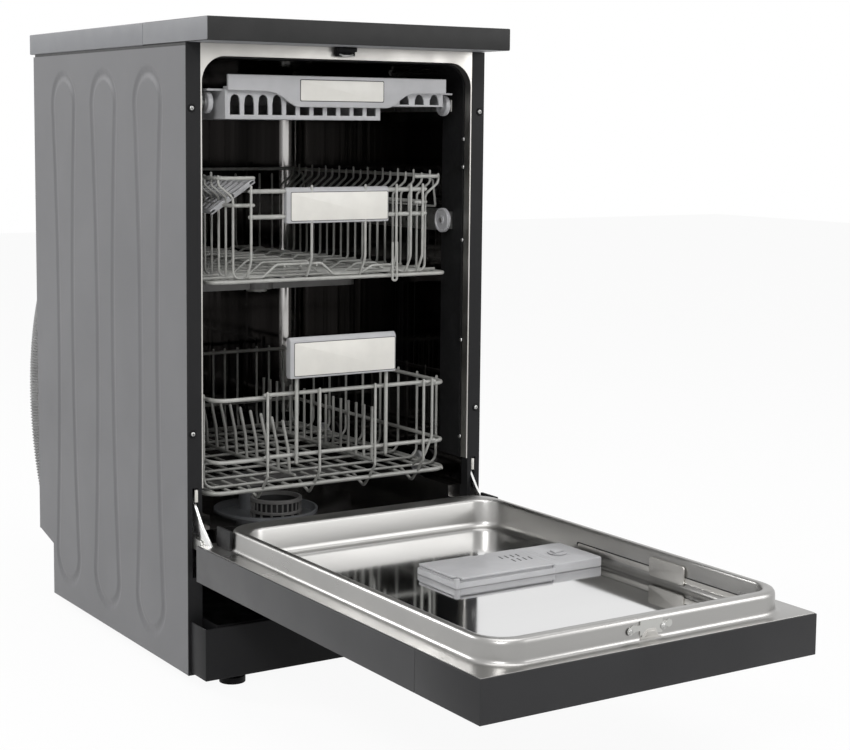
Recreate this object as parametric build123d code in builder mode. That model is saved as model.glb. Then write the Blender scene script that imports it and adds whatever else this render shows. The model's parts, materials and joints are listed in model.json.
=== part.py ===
from build123d import *
from math import cos, pi, radians, sin
import os

# Freestanding dishwasher, 450 mm wide, in its open pose.
# Millimetres: X to the right seen from the front, Y to the rear, Z up from the floor.
# The origin is the bottom centre of the whole object with its door open.

# Cabinet
cabinet_width = 450
cabinet_height = 845
panel_depth = 520
worktop_thickness = 29
worktop_front_overhang = 60
worktop_rear_overhang = 17
worktop_seam = 128
trim_wall = 3
post_width = 20
post_depth = 20
panel_foot = 13
step_depth = 55
step_height = 103
sheet = 1.0
thick_sheet = 1.2
gap = 0.3

# Tub and its mouth
mouth_half = 203
mouth_top = 800
mouth_radius = 33
mouth_foot = 255
tub_half = 204
tub_top = 801
tub_back_depth = 500
ledge_height = 215
ledge_half = 188
front_ledge_height = 200
floor_edge = 178
floor_middle = 158
gasket_thickness = 2.5

# Door, laid open
door_reach = 643
door_gap = 24
door_face = 142
door_lid = 188
door_seam = 527
hinge_setback = 16.5
hinge_height = 185.5
rim_top = 215
rim_half = 200
rim_rear = 44
rim_front = 628
rim_corner = 40
well_half = 189
well_rear = 78
well_front = 612
well_floor = 178
flap_half = 198
flap_reach = 50

# Hinges
arm_x = 213.25
arm_thickness = 1.5
bracket_x = 215.4
bracket_thickness = 2.0
pin_radius = 4.95
pin_bore = 5.0
slot_x = (211, 218.5)

# Running gear of the racks
wheel_radius = 17
wheel_width = 6
tray_roller_radius = 14
tray_roller_height = 743
upper_roller_radius = 17
upper_roller_height = 585

# Racks
rack_wire = 4.0
rail_wire = 5.0
lower_rack_half = 187.5
lower_rack_floor = 240
lower_rack_top = 367
lower_rack_rail = 285
lower_rack_depth = 440
upper_rack_half = 180
upper_rack_floor = 514
upper_rack_top = 647
upper_rack_depth = 432
tray_half = 165
tray_floor = 722
tray_shallow_floor = 741
tray_wall_top = 760
tray_depth = 428

# Drain hose
hose_reach = 603
hose_outer = 13
hose_valley = 11
hose_bore = 9.5
cuff_bore = 9.8
cuff_length = 28
cuff_lean = radians(4)
hose_x = -198
rib_pitch = 4.5
bow_radius = 308
bow_height = 301.5

half_width = cabinet_width / 2
front = (door_reach - hose_reach) / 2
rear = front + panel_depth
worktop_bottom = cabinet_height - worktop_thickness
panel_top = worktop_bottom - 4
post_top = worktop_bottom - gap
hinge_y = front - hinge_setback
tub_back_y = front + tub_back_depth
tray_back_y = rear - step_depth - 3


def block(x, y, z, mode=Mode.ADD):
    """A box between two limits on each axis."""
    with Locations(((x[0] + x[1]) / 2, (y[0] + y[1]) / 2, (z[0] + z[1]) / 2)):
        Box(abs(x[1] - x[0]), abs(y[1] - y[0]), abs(z[1] - z[0]), mode=mode)


def rod(start, end, radius, mode=Mode.ADD):
    """A round bar from one point to another."""
    axis = Vector(*end) - Vector(*start)
    with Locations(Plane(origin=start, z_dir=axis)):
        Cylinder(radius, axis.length, align=(Align.CENTER, Align.CENTER, Align.MIN), mode=mode)


def across(y):
    """A sketch plane across the cabinet at one depth: x is X, y is Z, drawing out goes forward."""
    return Plane(origin=(0, y, 0), x_dir=(1, 0, 0), z_dir=(0, -1, 0))


def beside(x):
    """A sketch plane along the cabinet: local x is Y, local y is Z, drawing out goes right."""
    return Plane(origin=(x, 0, 0), x_dir=(0, 1, 0), z_dir=(1, 0, 0))


def prism(plane, points, depth, mode=Mode.ADD):
    """A straight-sided outline on a plane, drawn out by a depth."""
    with BuildSketch(plane) as section:
        with BuildLine():
            Polyline(*points, close=True)
        make_face()
    extrude(section.sketch, amount=depth, mode=mode)


def slab(half_x, y, z, radius, mode=Mode.ADD):
    """A slab centred in X with rounded corners, seen from above."""
    with BuildSketch(Plane(origin=(0, (y[0] + y[1]) / 2, z[0]))) as section:
        RectangleRounded(2 * half_x, abs(y[1] - y[0]), radius)
    extrude(section.sketch, amount=z[1] - z[0], mode=mode)


def arch(half_x, foot, top, radius, y, mode=Mode.ADD):
    """A tall block with rounded top corners, between two depths."""
    with BuildSketch(across(y[0])) as section:
        with Locations((0, foot)):
            Rectangle(2 * half_x, top - foot, align=(Align.CENTER, Align.MIN))
        fillet(section.vertices().group_by(Axis.Y)[-1], radius)
    extrude(section.sketch, amount=y[0] - y[1], mode=mode)


def wire(points, diameter, bend=0):
    """A round wire along straight runs, with equal bends between them."""
    with BuildPart() as strand:
        with BuildLine() as path:
            if bend:
                FilletPolyline(*points, radius=bend)
            else:
                Polyline(*points)
        with BuildSketch(Plane(origin=path.line @ 0, z_dir=path.line % 0)):
            Circle(diameter / 2)
        sweep(path=path.line)
    return strand.part


def spread(first, last, count):
    """Evenly spaced places from first to last."""
    return [first + (last - first) * step / (count - 1) for step in range(count)]


def write(piece, node_name):
    """Label a finished piece and write its file."""
    piece.part.label = node_name
    export_step(piece.part, f"parts/{node_name}.step")


os.makedirs("parts", exist_ok=True)

# Side panels: a thin skin with three long pressed loops, a rear return and a stepped rear foot.
loop_places = (404, 260, 115)
loop_top = 786
loop_shoulder = 738
loop_waist = 420
loop_low = 95
loop_bottom = 41
loop_half = 45
loop_waist_half = 31
bead_width = 9
bead_depth = 0.7


def loop_line(place, inset):
    """One closed loop of the pressed pattern, drawn in from its outer line."""
    half = loop_half - inset
    waist = loop_waist_half - inset
    with BuildLine() as loop:
        ThreePointArc((place - half, loop_shoulder), (place, loop_top - inset),
                      (place + half, loop_shoulder))
        ThreePointArc((place + half, loop_shoulder), (place + waist, loop_waist), (place + half, loop_low))
        ThreePointArc((place + half, loop_low), (place, loop_bottom + inset), (place - half, loop_low))
        ThreePointArc((place - half, loop_low), (place - waist, loop_waist), (place - half, loop_shoulder))
    return loop.line.edges()


def loop_bands(plane, inset):
    """The three loops as bands, each narrower by an inset on both edges."""
    with BuildSketch(plane) as bands:
        for place in loop_places:
            make_face(loop_line(front + place, inset))
        for place in loop_places:
            make_face(loop_line(front + place, bead_width - inset), mode=Mode.SUBTRACT)
    return bands.sketch


def side_panel(side):
    """One side of the cabinet, left for -1 and right for 1."""
    inner = side * (half_width - sheet)
    panel_front = front + thick_sheet + 0.1
    step_y = rear - step_depth
    outline = (
        (panel_front, panel_foot),
        (step_y - 2, panel_foot),
        (step_y, step_height - 13),
        (rear - 5, step_height),
        (rear, step_height),
        (rear, panel_top),
        (panel_front, panel_top),
    )
    with BuildPart() as panel:
        prism(beside(inner), outline, side * sheet)
        extrude(loop_bands(beside(inner), 0), amount=-side * bead_depth)
        extrude(loop_bands(beside(side * half_width), 1), amount=-side * bead_depth, mode=Mode.SUBTRACT)
        block((inner, side * (half_width - 12)), (rear - sheet, rear), (step_height, panel_top))
    return panel


for side, side_name in ((-1, "left"), (1, "right")):
    write(side_panel(side), f"side_panel_{side_name}")

# Rear panel, bent forward over the stepped foot and notched for the hose.
back_y = rear - 2
with BuildPart() as rear_panel:
    bent_sheet = (
        (back_y, post_top),
        (back_y + thick_sheet, post_top),
        (back_y + thick_sheet, step_height - 0.8),
        (rear - step_depth, step_height - 14),
        (rear - step_depth, step_height - 13),
        (back_y, step_height),
    )
    prism(beside(-half_width + 13), bent_sheet, cabinet_width - 26)
    for x in (-110, 0, 110):
        block((x - 12, x + 12), (back_y - 3, back_y), (180, 740))
    notch_x = (hose_x - hose_outer - 2, hose_x + hose_outer + 2)
    block(notch_x, (rear - step_depth - 1, rear + 1), (80, 132), mode=Mode.SUBTRACT)
write(rear_panel, "rear_panel")

# Worktop: a board, and a moulded trim that wraps its front and reaches back to a seam.
trim_y = front - worktop_front_overhang
worktop_back = rear + worktop_rear_overhang
worktop_z = (worktop_bottom, cabinet_height)
with BuildPart() as worktop_panel:
    board_half = half_width - trim_wall - gap
    block((-board_half, board_half), (trim_y + trim_wall + gap, worktop_back), worktop_z)
    block((-half_width, half_width), (front + worktop_seam + gap, worktop_back), worktop_z)
    fillet(worktop_panel.edges().filter_by(Axis.Z).group_by(Axis.Y)[-1], 4)
write(worktop_panel, "worktop_panel")

with BuildPart() as worktop_front_trim:
    trim_inner = half_width - trim_wall
    block((-half_width, half_width), (trim_y, front + worktop_seam), worktop_z)
    block((-trim_inner, trim_inner), (trim_y + trim_wall, front + worktop_seam + 1),
          (worktop_bottom - 1, cabinet_height + 1), mode=Mode.SUBTRACT)
    fillet(worktop_front_trim.edges().filter_by(Axis.Z).group_by(Axis.Y)[0], 2.5)
write(worktop_front_trim, "worktop_front_trim")

# Front posts, each with a slot for the hinge arm.
with BuildPart() as front_posts:
    for side in (-1, 1):
        inner = half_width - post_width
        block((side * inner, side * half_width), (front, front + thick_sheet), (panel_foot, post_top))
        block((side * inner, side * (inner + thick_sheet)), (front, front + post_depth),
              (panel_foot, post_top))
        block((side * slot_x[0], side * slot_x[1]), (front - 1, front + thick_sheet + 1), (140, 256),
              mode=Mode.SUBTRACT)
write(front_posts, "front_posts")

# Screws with dark grommets, two on each post.
with BuildPart() as cabinet_screws:
    for side in (-1, 1):
        for z in (326, 735):
            x = side * (half_width - 7.5)
            rod((x, front - 1.2, z), (x, front, z), 5.5)
            rod((x, front - 2.5, z), (x, front - 1.2, z), 3.2)
write(cabinet_screws, "cabinet_screws")

# Steel flange round the mouth of the tub, with a lip that leads inside.
flange_y = front + 0.5
flange_back = front + 14
flange_half = half_width - post_width - 0.1
with BuildPart() as mouth_flange:
    block((-flange_half, flange_half), (flange_y, flange_y + thick_sheet), (mouth_foot, post_top))
    arch(mouth_half + sheet, mouth_foot, mouth_top + sheet, mouth_radius + sheet, (flange_y, flange_back))
    arch(mouth_half, mouth_foot - 1, mouth_top, mouth_radius, (flange_y - 1, flange_back + 1),
         mode=Mode.SUBTRACT)
write(mouth_flange, "mouth_flange")

# Latch strike: a dark bracket over the mouth with a steel tongue.
with BuildPart() as latch_strike:
    block((-13, 15), (front - 7, flange_y), (804, post_top))
    block((-9, 11), (front - 10, front - 7), (803, 806))
    block((-3, 5), (front - 12, front - 10), (803, 810))
write(latch_strike, "latch_strike")

# Tub: a wrap for the sides and roof, a beaded back and a sloping floor.
wrap_y = (flange_back + gap, tub_back_y - gap)
with BuildPart() as tub_wrap:
    arch(tub_half + sheet, ledge_height + gap, tub_top + sheet, mouth_radius + 2, wrap_y)
    arch(tub_half, ledge_height - 1, tub_top, mouth_radius + 1, (wrap_y[0] - 1, wrap_y[1] + 1),
         mode=Mode.SUBTRACT)
write(tub_wrap, "tub_wrap")

rib_depth = 3
with BuildPart() as tub_back:
    tub_edge = tub_half + sheet
    block((-tub_edge, tub_edge), (tub_back_y, tub_back_y + sheet), (150, tub_top + sheet))
    for x in spread(-132, 132, 5):
        with BuildSketch(across(tub_back_y)) as rib:
            with Locations((x, 495)):
                SlotOverall(490, 24, rotation=90)
        extrude(rib.sketch, amount=rib_depth)
write(tub_back, "tub_back")

sump_y = front + 212
sump_radius = 74.7
basin_half = ledge_half - 4
riser_y = front + 18
with BuildPart() as tub_floor:
    basin = [(-ledge_half, ledge_height), (-basin_half, floor_edge), (0, floor_middle),
             (basin_half, floor_edge), (ledge_half, ledge_height)]
    under = [(ledge_half + thick_sheet, ledge_height - thick_sheet),
             (basin_half + thick_sheet, floor_edge - thick_sheet),
             (0, floor_middle - thick_sheet), (-basin_half - thick_sheet, floor_edge - thick_sheet),
             (-ledge_half - thick_sheet, ledge_height - thick_sheet)]
    ledge_right = [(tub_edge, ledge_height), (tub_edge, ledge_height - thick_sheet)]
    ledge_left = [(-tub_edge, ledge_height - thick_sheet), (-tub_edge, ledge_height)]
    prism(across(riser_y), basin + ledge_right + under + ledge_left, riser_y - tub_back_y + gap)
    prism(across(front + 3), basin + under, -(riser_y - front - 3))
    prism(across(front + 3), basin + under[1:4], -thick_sheet)
    prism(across(front + 3), basin[0:1] + basin[1:4] + basin[4:5], -thick_sheet)
    for side in (-1, 1):
        edge = side * (basin_half + 1.6)
        block((edge, side * tub_edge), (front + 3, riser_y + thick_sheet),
              (front_ledge_height - thick_sheet, front_ledge_height))
        block((edge, side * tub_edge), (riser_y, riser_y + thick_sheet),
              (front_ledge_height - thick_sheet, ledge_height))
    block((-tub_edge - 1, tub_edge + 1), (front + 2, riser_y), (front_ledge_height, ledge_height + 1),
          mode=Mode.SUBTRACT)
    rod((0, sump_y, 100), (0, sump_y, 210), sump_radius + gap, mode=Mode.SUBTRACT)
write(tub_floor, "tub_floor")

# Dark rubber gasket round the inside of the mouth.
gasket_y = (front + 16, front + 66)
with BuildPart() as mouth_gasket:
    arch(tub_half, mouth_foot, tub_top, mouth_radius + 1, gasket_y)
    arch(tub_half - gasket_thickness, mouth_foot - 1, tub_top - gasket_thickness, mouth_radius - 1.5,
         (gasket_y[0] - 1, gasket_y[1] + 1), mode=Mode.SUBTRACT)
write(mouth_gasket, "mouth_gasket")

# Base tray that carries the pumps, with screw bosses for the feet, a cord collar and holes to the rear.
foot_stem = 5
boss_bore = foot_stem + 0.05
front_feet = ((-167, front - 9), (167, front - 9))
rear_feet_places = ((-185, front + 425), (185, front + 425))
tray_bottom = 22
tray_top = 85
tray_wall = 3
nose_y = front - 38
valve_x = 130
valve_z = 60
inlet_thread = 13.2
gland_x = 60
gland_bore = 4
lower_angle = radians(43)
upper_angle = radians(26.7)
foot_bend = 50
return_bend = 150
bow_y = front + hose_reach - hose_outer - bow_radius
bow_low = (bow_y + bow_radius * cos(lower_angle), bow_height - bow_radius * sin(lower_angle))
bow_high = (bow_y + bow_radius * cos(upper_angle), bow_height + bow_radius * sin(upper_angle))
foot_turn = pi / 2 - lower_angle
hose_z = bow_low[1] - foot_bend * (1 - cos(foot_turn))
bend_y = bow_low[0] - foot_bend * sin(foot_turn)
with BuildPart() as base_tray:
    tray_half_x = half_width - 2
    nose_half = half_width - 22
    join_y = front + 22
    block((-tray_half_x, tray_half_x), (join_y, tray_back_y), (tray_bottom, tray_top))
    block((-nose_half, nose_half), (nose_y, join_y), (tray_bottom, tray_top))
    block((-tray_half_x + tray_wall, tray_half_x - tray_wall),
          (join_y + tray_wall, tray_back_y - tray_wall),
          (tray_bottom + tray_wall, tray_top + 1), mode=Mode.SUBTRACT)
    block((-nose_half + tray_wall, nose_half - tray_wall), (nose_y + tray_wall, join_y + tray_wall + 1),
          (tray_bottom + tray_wall, tray_top + 1), mode=Mode.SUBTRACT)
    for x, y in front_feet + rear_feet_places:
        rod((x, y, tray_bottom), (x, y, 60), 12)
        rod((x, y, tray_bottom - 1), (x, y, 61), boss_bore, mode=Mode.SUBTRACT)
    rod((gland_x, tray_back_y - 8, valve_z), (gland_x, tray_back_y + 6, valve_z), 9)
    rod((gland_x, tray_back_y - 9, valve_z), (gland_x, tray_back_y + 7, valve_z), gland_bore,
        mode=Mode.SUBTRACT)
    rod((valve_x, tray_back_y - 9, valve_z), (valve_x, tray_back_y + 7, valve_z), inlet_thread + 2 * gap,
        mode=Mode.SUBTRACT)
    rod((hose_x, tray_back_y - 9, hose_z), (hose_x, tray_back_y + 7, hose_z), hose_outer + 1,
        mode=Mode.SUBTRACT)
write(base_tray, "base_tray")

# Kick plate in front of the base.
kick_y = front - 44
with BuildPart() as kick_plate:
    kick_half = half_width - 3
    block((-kick_half, kick_half), (kick_y, front - gap), (17, 84))
    block((-kick_half + 2, kick_half - 2), (kick_y + 2, front), (16, 85), mode=Mode.SUBTRACT)
write(kick_plate, "kick_plate")


def levelling_foot(x, y):
    """A round pad on a screw stem."""
    rod((x, y, 0), (x, y, 8), 17)
    rod((x, y, 8), (x, y, 13), 9)
    rod((x, y, 13), (x, y, 58), foot_stem)


for place, side_name in zip(front_feet, ("left", "right")):
    with BuildPart() as front_foot:
        levelling_foot(*place)
    write(front_foot, f"foot_front_{side_name}")

with BuildPart() as rear_feet:
    for place in rear_feet_places:
        levelling_foot(*place)
write(rear_feet, "rear_feet")

# Sump with the filter seat and the hub of the lower spray arm.
filter_y = front + 181
filter_radius = 37
hub_y = front + 262
hub_radius = 11
arm_low = 194
arm_height = 12
with BuildPart() as sump:
    rod((0, sump_y, 95), (0, sump_y, 168), sump_radius)
    rod((0, sump_y, 98), (0, sump_y, 154), sump_radius - 3, mode=Mode.SUBTRACT)
    rod((0, sump_y, 157), (0, sump_y, 169), sump_radius - 3, mode=Mode.SUBTRACT)
    rod((0, filter_y, 150), (0, filter_y, 160), filter_radius + 0.06, mode=Mode.SUBTRACT)
    rod((0, hub_y, 154), (0, hub_y, arm_low - gap), hub_radius + 5)
    rod((0, hub_y, 154), (0, hub_y, arm_low + arm_height + 1), hub_radius)
    rod((0, hub_y, 150), (0, hub_y, arm_low + arm_height - 3), hub_radius - 3, mode=Mode.SUBTRACT)
write(sump, "sump")

# Filter: a slotted cup with a notched rim, twisted in its seat.
filter_low = 120
filter_top = 190
with BuildPart() as filter_cup:
    rod((0, filter_y, filter_low), (0, filter_y, filter_top), filter_radius)
    rod((0, filter_y, 157.3), (0, filter_y, 160), filter_radius + 2)
    rod((0, filter_y, filter_low + 3), (0, filter_y, filter_top + 1), filter_radius - 2.5,
        mode=Mode.SUBTRACT)
    for step in range(14):
        angle = 360 * step / 14
        with Locations(Location((0, filter_y, 169), (0, 0, angle))):
            with Locations((filter_radius, 0, 0)):
                Box(10, 10, 9, mode=Mode.SUBTRACT)
    for step in range(7):
        angle = 360 * (step + 0.5) / 7
        with Locations(Location((0, filter_y, filter_top), (0, 0, angle))):
            with Locations((filter_radius, 0, 0)):
                Box(10, 14, 12, mode=Mode.SUBTRACT)
write(filter_cup, "filter")


def spray_arm(centre_y, low, reach, width, bore):
    """A flat arm with a round middle, jets on top and a bearing bore."""
    with BuildPart() as arm:
        with BuildSketch(Plane(origin=(0, centre_y, low))) as outline:
            SlotOverall(2 * reach, width)
            Circle(width * 0.8)
        extrude(outline.sketch, amount=arm_height)
        for side in (-1, 1):
            for share in (0.35, 0.6, 0.85):
                x = side * share * reach
                block((x - 5, x + 5), (centre_y + side * 4, centre_y + side * 7), (low + 9, low + 13),
                      mode=Mode.SUBTRACT)
        rod((0, centre_y, low - 1), (0, centre_y, low + arm_height + 1), bore, mode=Mode.SUBTRACT)
    return arm


write(spray_arm(hub_y, arm_low, 165, 34, hub_radius + 0.06), "lower_spray_arm")

# Wash pump, drain pump and inlet valve on the base tray.
on_tray = tray_bottom + tray_wall
with BuildPart() as wash_pump:
    rod((-70, front + 296, 106), (-70, front + 400, 106), 36)
    rod((-45, front + 280, 112), (-45, front + 300, 112), 14)
    block((-84, -56), (front + 320, front + 380), (on_tray, 80))
write(wash_pump, "wash_pump")

with BuildPart() as drain_pump:
    rod((30, front + 330, 78), (84, front + 330, 78), 25)
    rod((84, front + 330, 78), (104, front + 330, 78), 18)
    block((42, 74), (front + 316, front + 344), (on_tray, 60))
write(drain_pump, "drain_pump")

with BuildPart() as inlet_valve:
    block((valve_x - 18, valve_x + 18), (tray_back_y - 45, tray_back_y - tray_wall), (on_tray, 80))
    rod((valve_x, tray_back_y - 10, valve_z), (valve_x, tray_back_y + 2, valve_z), inlet_thread + 0.3)
    rod((valve_x, tray_back_y + 1, valve_z), (valve_x, tray_back_y + 16, valve_z), inlet_thread)
    rod((valve_x, tray_back_y - 2, valve_z), (valve_x, tray_back_y + 17, valve_z), 8, mode=Mode.SUBTRACT)
write(inlet_valve, "inlet_valve")

# Feed pipe up the back wall, with the collar that the upper rack docks into.
feed_y = tub_back_y - rib_depth
feed_height = 503
with BuildPart() as feed_pipe:
    block((-9, 9), (feed_y - 8, feed_y), (162, feed_height + 12))
    rod((0, feed_y - 14, feed_height), (0, feed_y - 7, feed_height), 10)
    rod((0, feed_y - 15, feed_height), (0, feed_y - 4, feed_height), 6, mode=Mode.SUBTRACT)
write(feed_pipe, "feed_pipe")

# Drain hose: out of the base, up in a long bow behind the cabinet and back to its clips, with a cuff.
return_y = bow_high[0] - return_bend * (1 - cos(upper_angle))
return_z = bow_high[1] + return_bend * sin(upper_angle)
hose_top = return_z + 68
half_turn = foot_turn / 2
half_return = upper_angle / 2
with BuildLine() as hose_route:
    Line((hose_x, bend_y - 27, hose_z), (hose_x, bend_y, hose_z))
    ThreePointArc((hose_x, bend_y, hose_z),
                  (hose_x, bend_y + foot_bend * sin(half_turn), hose_z + foot_bend * (1 - cos(half_turn))),
                  (hose_x, *bow_low))
    ThreePointArc((hose_x, *bow_low), (hose_x, bow_y + bow_radius, bow_height), (hose_x, *bow_high))
    ThreePointArc((hose_x, *bow_high),
                  (hose_x, return_y + return_bend * (1 - cos(half_return)),
                   return_z - return_bend * sin(half_return)),
                  (hose_x, return_y, return_z))
    Line((hose_x, return_y, return_z), (hose_x, return_y, hose_top))


def hose_rings(radii, count):
    """Circles square to the route, spread evenly along it, on a steady X axis."""
    route = Wire(hose_route.line.edges())
    rings = []
    for step in range(count + 1):
        share = step / count
        with BuildSketch(Plane(origin=route @ share, x_dir=(1, 0, 0), z_dir=route % share)) as ring:
            Circle(radii[step % len(radii)])
        rings.append(ring.sketch)
    return rings


def cuff_point(along):
    """A point on the cuff's axis, which leans back so that a pipe clears the worktop."""
    return (hose_x, return_y + along * sin(cuff_lean), hose_top + along * cos(cuff_lean))


hose_length = Wire(hose_route.line.edges()).length
rib_count = round(hose_length / rib_pitch)
with BuildPart() as drain_hose:
    loft(hose_rings((hose_valley, hose_outer, hose_outer, hose_valley), 4 * rib_count), ruled=True)
    loft(hose_rings((hose_bore,), rib_count), ruled=True, mode=Mode.SUBTRACT)
    rod(cuff_point(-1), cuff_point(cuff_length), hose_outer)
    rod(cuff_point(-2), cuff_point(cuff_length + 1), cuff_bore, mode=Mode.SUBTRACT)
print("drain hose", round(hose_length), "mm long with", rib_count, "ribs")
write(drain_hose, "drain_hose")

# Clips that hold the hose against the rear panel.
with BuildPart() as hose_clips:
    for z in (return_z + 8, return_z + 46):
        rod((hose_x, return_y, z), (hose_x, return_y, z + 8), hose_outer + 3)
        block((hose_x - 7, hose_x + 7), (back_y + thick_sheet, return_y - hose_outer), (z, z + 8))
        rod((hose_x, return_y, z - 1), (hose_x, return_y, z + 9), hose_outer + gap, mode=Mode.SUBTRACT)
write(hose_clips, "hose_clips")

# Hinge brackets with the pins that the door's arms turn on.
ear_radius = 7
with BuildPart() as hinge_brackets:
    for side in (-1, 1):
        x = (side * bracket_x, side * (bracket_x + bracket_thickness))
        rod((x[0], hinge_y, hinge_height), (x[1], hinge_y, hinge_height), ear_radius)
        block(x, (hinge_y, front + 62), (hinge_height - ear_radius, hinge_height + ear_radius))
        block(x, (front + 25, front + 62), (tray_top, hinge_height))
        block((x[0], side * (half_width - 2.2)), (front + 25, front + 62), (tray_top, tray_top + 2))
        rod((side * (arm_x - 1), hinge_y, hinge_height), (x[0], hinge_y, hinge_height), pin_radius)
write(hinge_brackets, "hinge_brackets")

# Springs that balance the door, standing on the base tray beside the tub.
with BuildPart() as door_springs:
    for side in (-1, 1):
        rod((side * 212, front + 120, on_tray), (side * 212, front + 120, 40), 2)
        rod((side * 212, front + 120, 40), (side * 212, front + 120, 150), 7)
write(door_springs, "door_springs")

# Wall rails: tracks and roller brackets for the cutlery tray, and channels for the upper rack.
bracket_y = (front + 72, tub_back_y - 12)
track_wall = tub_half - gap
tray_roller_y = front + 34
upper_bar = (upper_roller_height - 12, upper_roller_height + 12)
with BuildPart() as wall_rails:
    for side in (-1, 1):
        z = tray_roller_height
        block((side * 189, side * 191), (tray_roller_y - 6, bracket_y[0] + 20), (z - 8, z + 8))
        block((side * 189, side * track_wall), (bracket_y[0], bracket_y[0] + 20), (z - 8, z + 8))
        rod((side * 176, tray_roller_y, z), (side * 189, tray_roller_y, z), 4)
        block((side * (track_wall - 2), side * track_wall), bracket_y, (z - 8, z + 8))
        block((side * 171, side * track_wall), (front + 250, bracket_y[1]), (z + 11, z + 13.5))
        block((side * (track_wall - 2), side * track_wall), (front + 250, bracket_y[1]), (z + 7, z + 13.5))
        block((side * 194.5, side * track_wall), bracket_y, (upper_bar[0] - 3 - gap, upper_bar[0] - gap))
        block((side * 194.5, side * track_wall), bracket_y, (upper_bar[1] + gap, upper_bar[1] + gap + 2.5))
        block((side * (track_wall - 2), side * track_wall), bracket_y,
              (upper_bar[0] - 3 - gap, upper_bar[1] + gap + 2.5))
write(wall_rails, "wall_rails")

# Moving bars of the upper rack, with the pins of their front rollers.
upper_roller_y = front + 48
with BuildPart() as upper_rails:
    for side in (-1, 1):
        block((side * 195.5, side * (track_wall - 2 - 1)), (front + 38, tub_back_y - 20), upper_bar)
        rod((side * 187, upper_roller_y, upper_roller_height), (side * 195.5, upper_roller_y,
                                                                upper_roller_height), 3)
write(upper_rails, "upper_rails")


def wheel_pair(y, z, inner_x, width, radius, pin):
    """Two wheels on one axis line, one at each side, bored to run on their pins."""
    with BuildPart() as wheels:
        for side in (-1, 1):
            rod((side * inner_x, y, z), (side * (inner_x + width), y, z), radius)
            rod((side * (inner_x - 1), y, z), (side * (inner_x + width + 1), y, z), pin + 0.06,
                mode=Mode.SUBTRACT)
    return wheels


write(wheel_pair(tray_roller_y, tray_roller_height, 177, 7, tray_roller_radius, 4), "tray_rollers")
write(wheel_pair(upper_roller_y, upper_roller_height, 188, 6, upper_roller_radius, 3), "upper_rack_rollers")


def rounded_frame(half_x, near, far, height, corner):
    """A closed wire frame with rounded corners, lying flat."""
    with BuildPart() as frame:
        with BuildSketch(Plane(origin=(0, (near + far) / 2, height))) as ring:
            RectangleRounded(2 * half_x, far - near, corner)
        path = ring.sketch.faces()[0].outer_wire()
        with BuildSketch(Plane(origin=path @ 0, z_dir=path % 0)) as section:
            Circle(rail_wire / 2)
        sweep(section.sketch, path=path, mode=Mode.ADD)
    return frame.part


cross_lift = 3.6


def rack_base(half_x, near, far, height, along, cross):
    """A heavier frame with a grid of wires welded across it."""
    wires = [rounded_frame(half_x, near, far, height, 14)]
    for x in along:
        wires.append(wire([(x, near, height), (x, far, height)], rack_wire))
    for y in cross:
        wires.append(wire([(-half_x, y, height + cross_lift), (half_x, y, height + cross_lift)], rack_wire))
    return wires


def rack_wall(start, end, levels, foot, top, places):
    """A flat panel of upright wires welded to level rails, between two corners seen from above."""
    wires = [wire([(*start, z), (*end, z)], rail_wire) for z in levels]
    for x, y in places:
        wires.append(wire([(x, y, foot), (x, y, top)], rack_wire))
    return wires


def cross_places(x, first, last, count):
    """Evenly spaced places along a side wall, as pairs."""
    return [(x, y) for y in spread(first, last, count)]


# Lower rack: base grid with runner loops under it, its axles and the bearings of its folding tines.
lower_near = front + 17.2
lower_far = lower_near + lower_rack_depth
axle_z = ledge_height + wheel_radius + gap
axle_places = (front + 109, front + 380)
wheel_x = lower_rack_half + 3.5
lower_cross = spread(lower_near + 35, lower_far - 20, 10)
lower_pitch = lower_cross[1] - lower_cross[0]
lower_grid_top = lower_rack_floor + cross_lift + rack_wire / 2
tine_x = 100
tine_z = lower_grid_top + rail_wire / 2 + 1
with BuildPart() as lower_rack_base:
    pieces = rack_base(lower_rack_half, lower_near, lower_far, lower_rack_floor, spread(-165, 165, 9),
                       lower_cross)
    for x in (-110, -55, 20, 75, 120):
        loop = [(x, lower_near, lower_rack_floor), (x, lower_near + 8, lower_rack_floor - 15),
                (x, lower_near + 75, lower_rack_floor + 2)]
        pieces.append(wire(loop, rack_wire, 4))
    for y in axle_places:
        pieces.append(wire([(-lower_rack_half, y, axle_z + 3.5), (lower_rack_half, y, axle_z + 3.5)],
                           rail_wire))
    add(pieces)
    for y in axle_places:
        for side in (-1, 1):
            x = side * lower_rack_half
            rod((x, y, axle_z), (side * (wheel_x + wheel_width + 1), y, axle_z), 3)
            block((x - 2.5, x + 2.5), (y - 5, y + 5), (axle_z - 5, lower_rack_floor + 2))
    for y in (lower_cross[1], lower_cross[5], lower_cross[8]):
        block((tine_x - 5, tine_x + 5), (y - 4, y + 4), (lower_rack_floor + 2, tine_z + 4))
        rod((tine_x, y - 5, tine_z), (tine_x, y + 5, tine_z), rail_wire / 2 + 0.06, mode=Mode.SUBTRACT)
write(lower_rack_base, "lower_rack_base")

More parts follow.
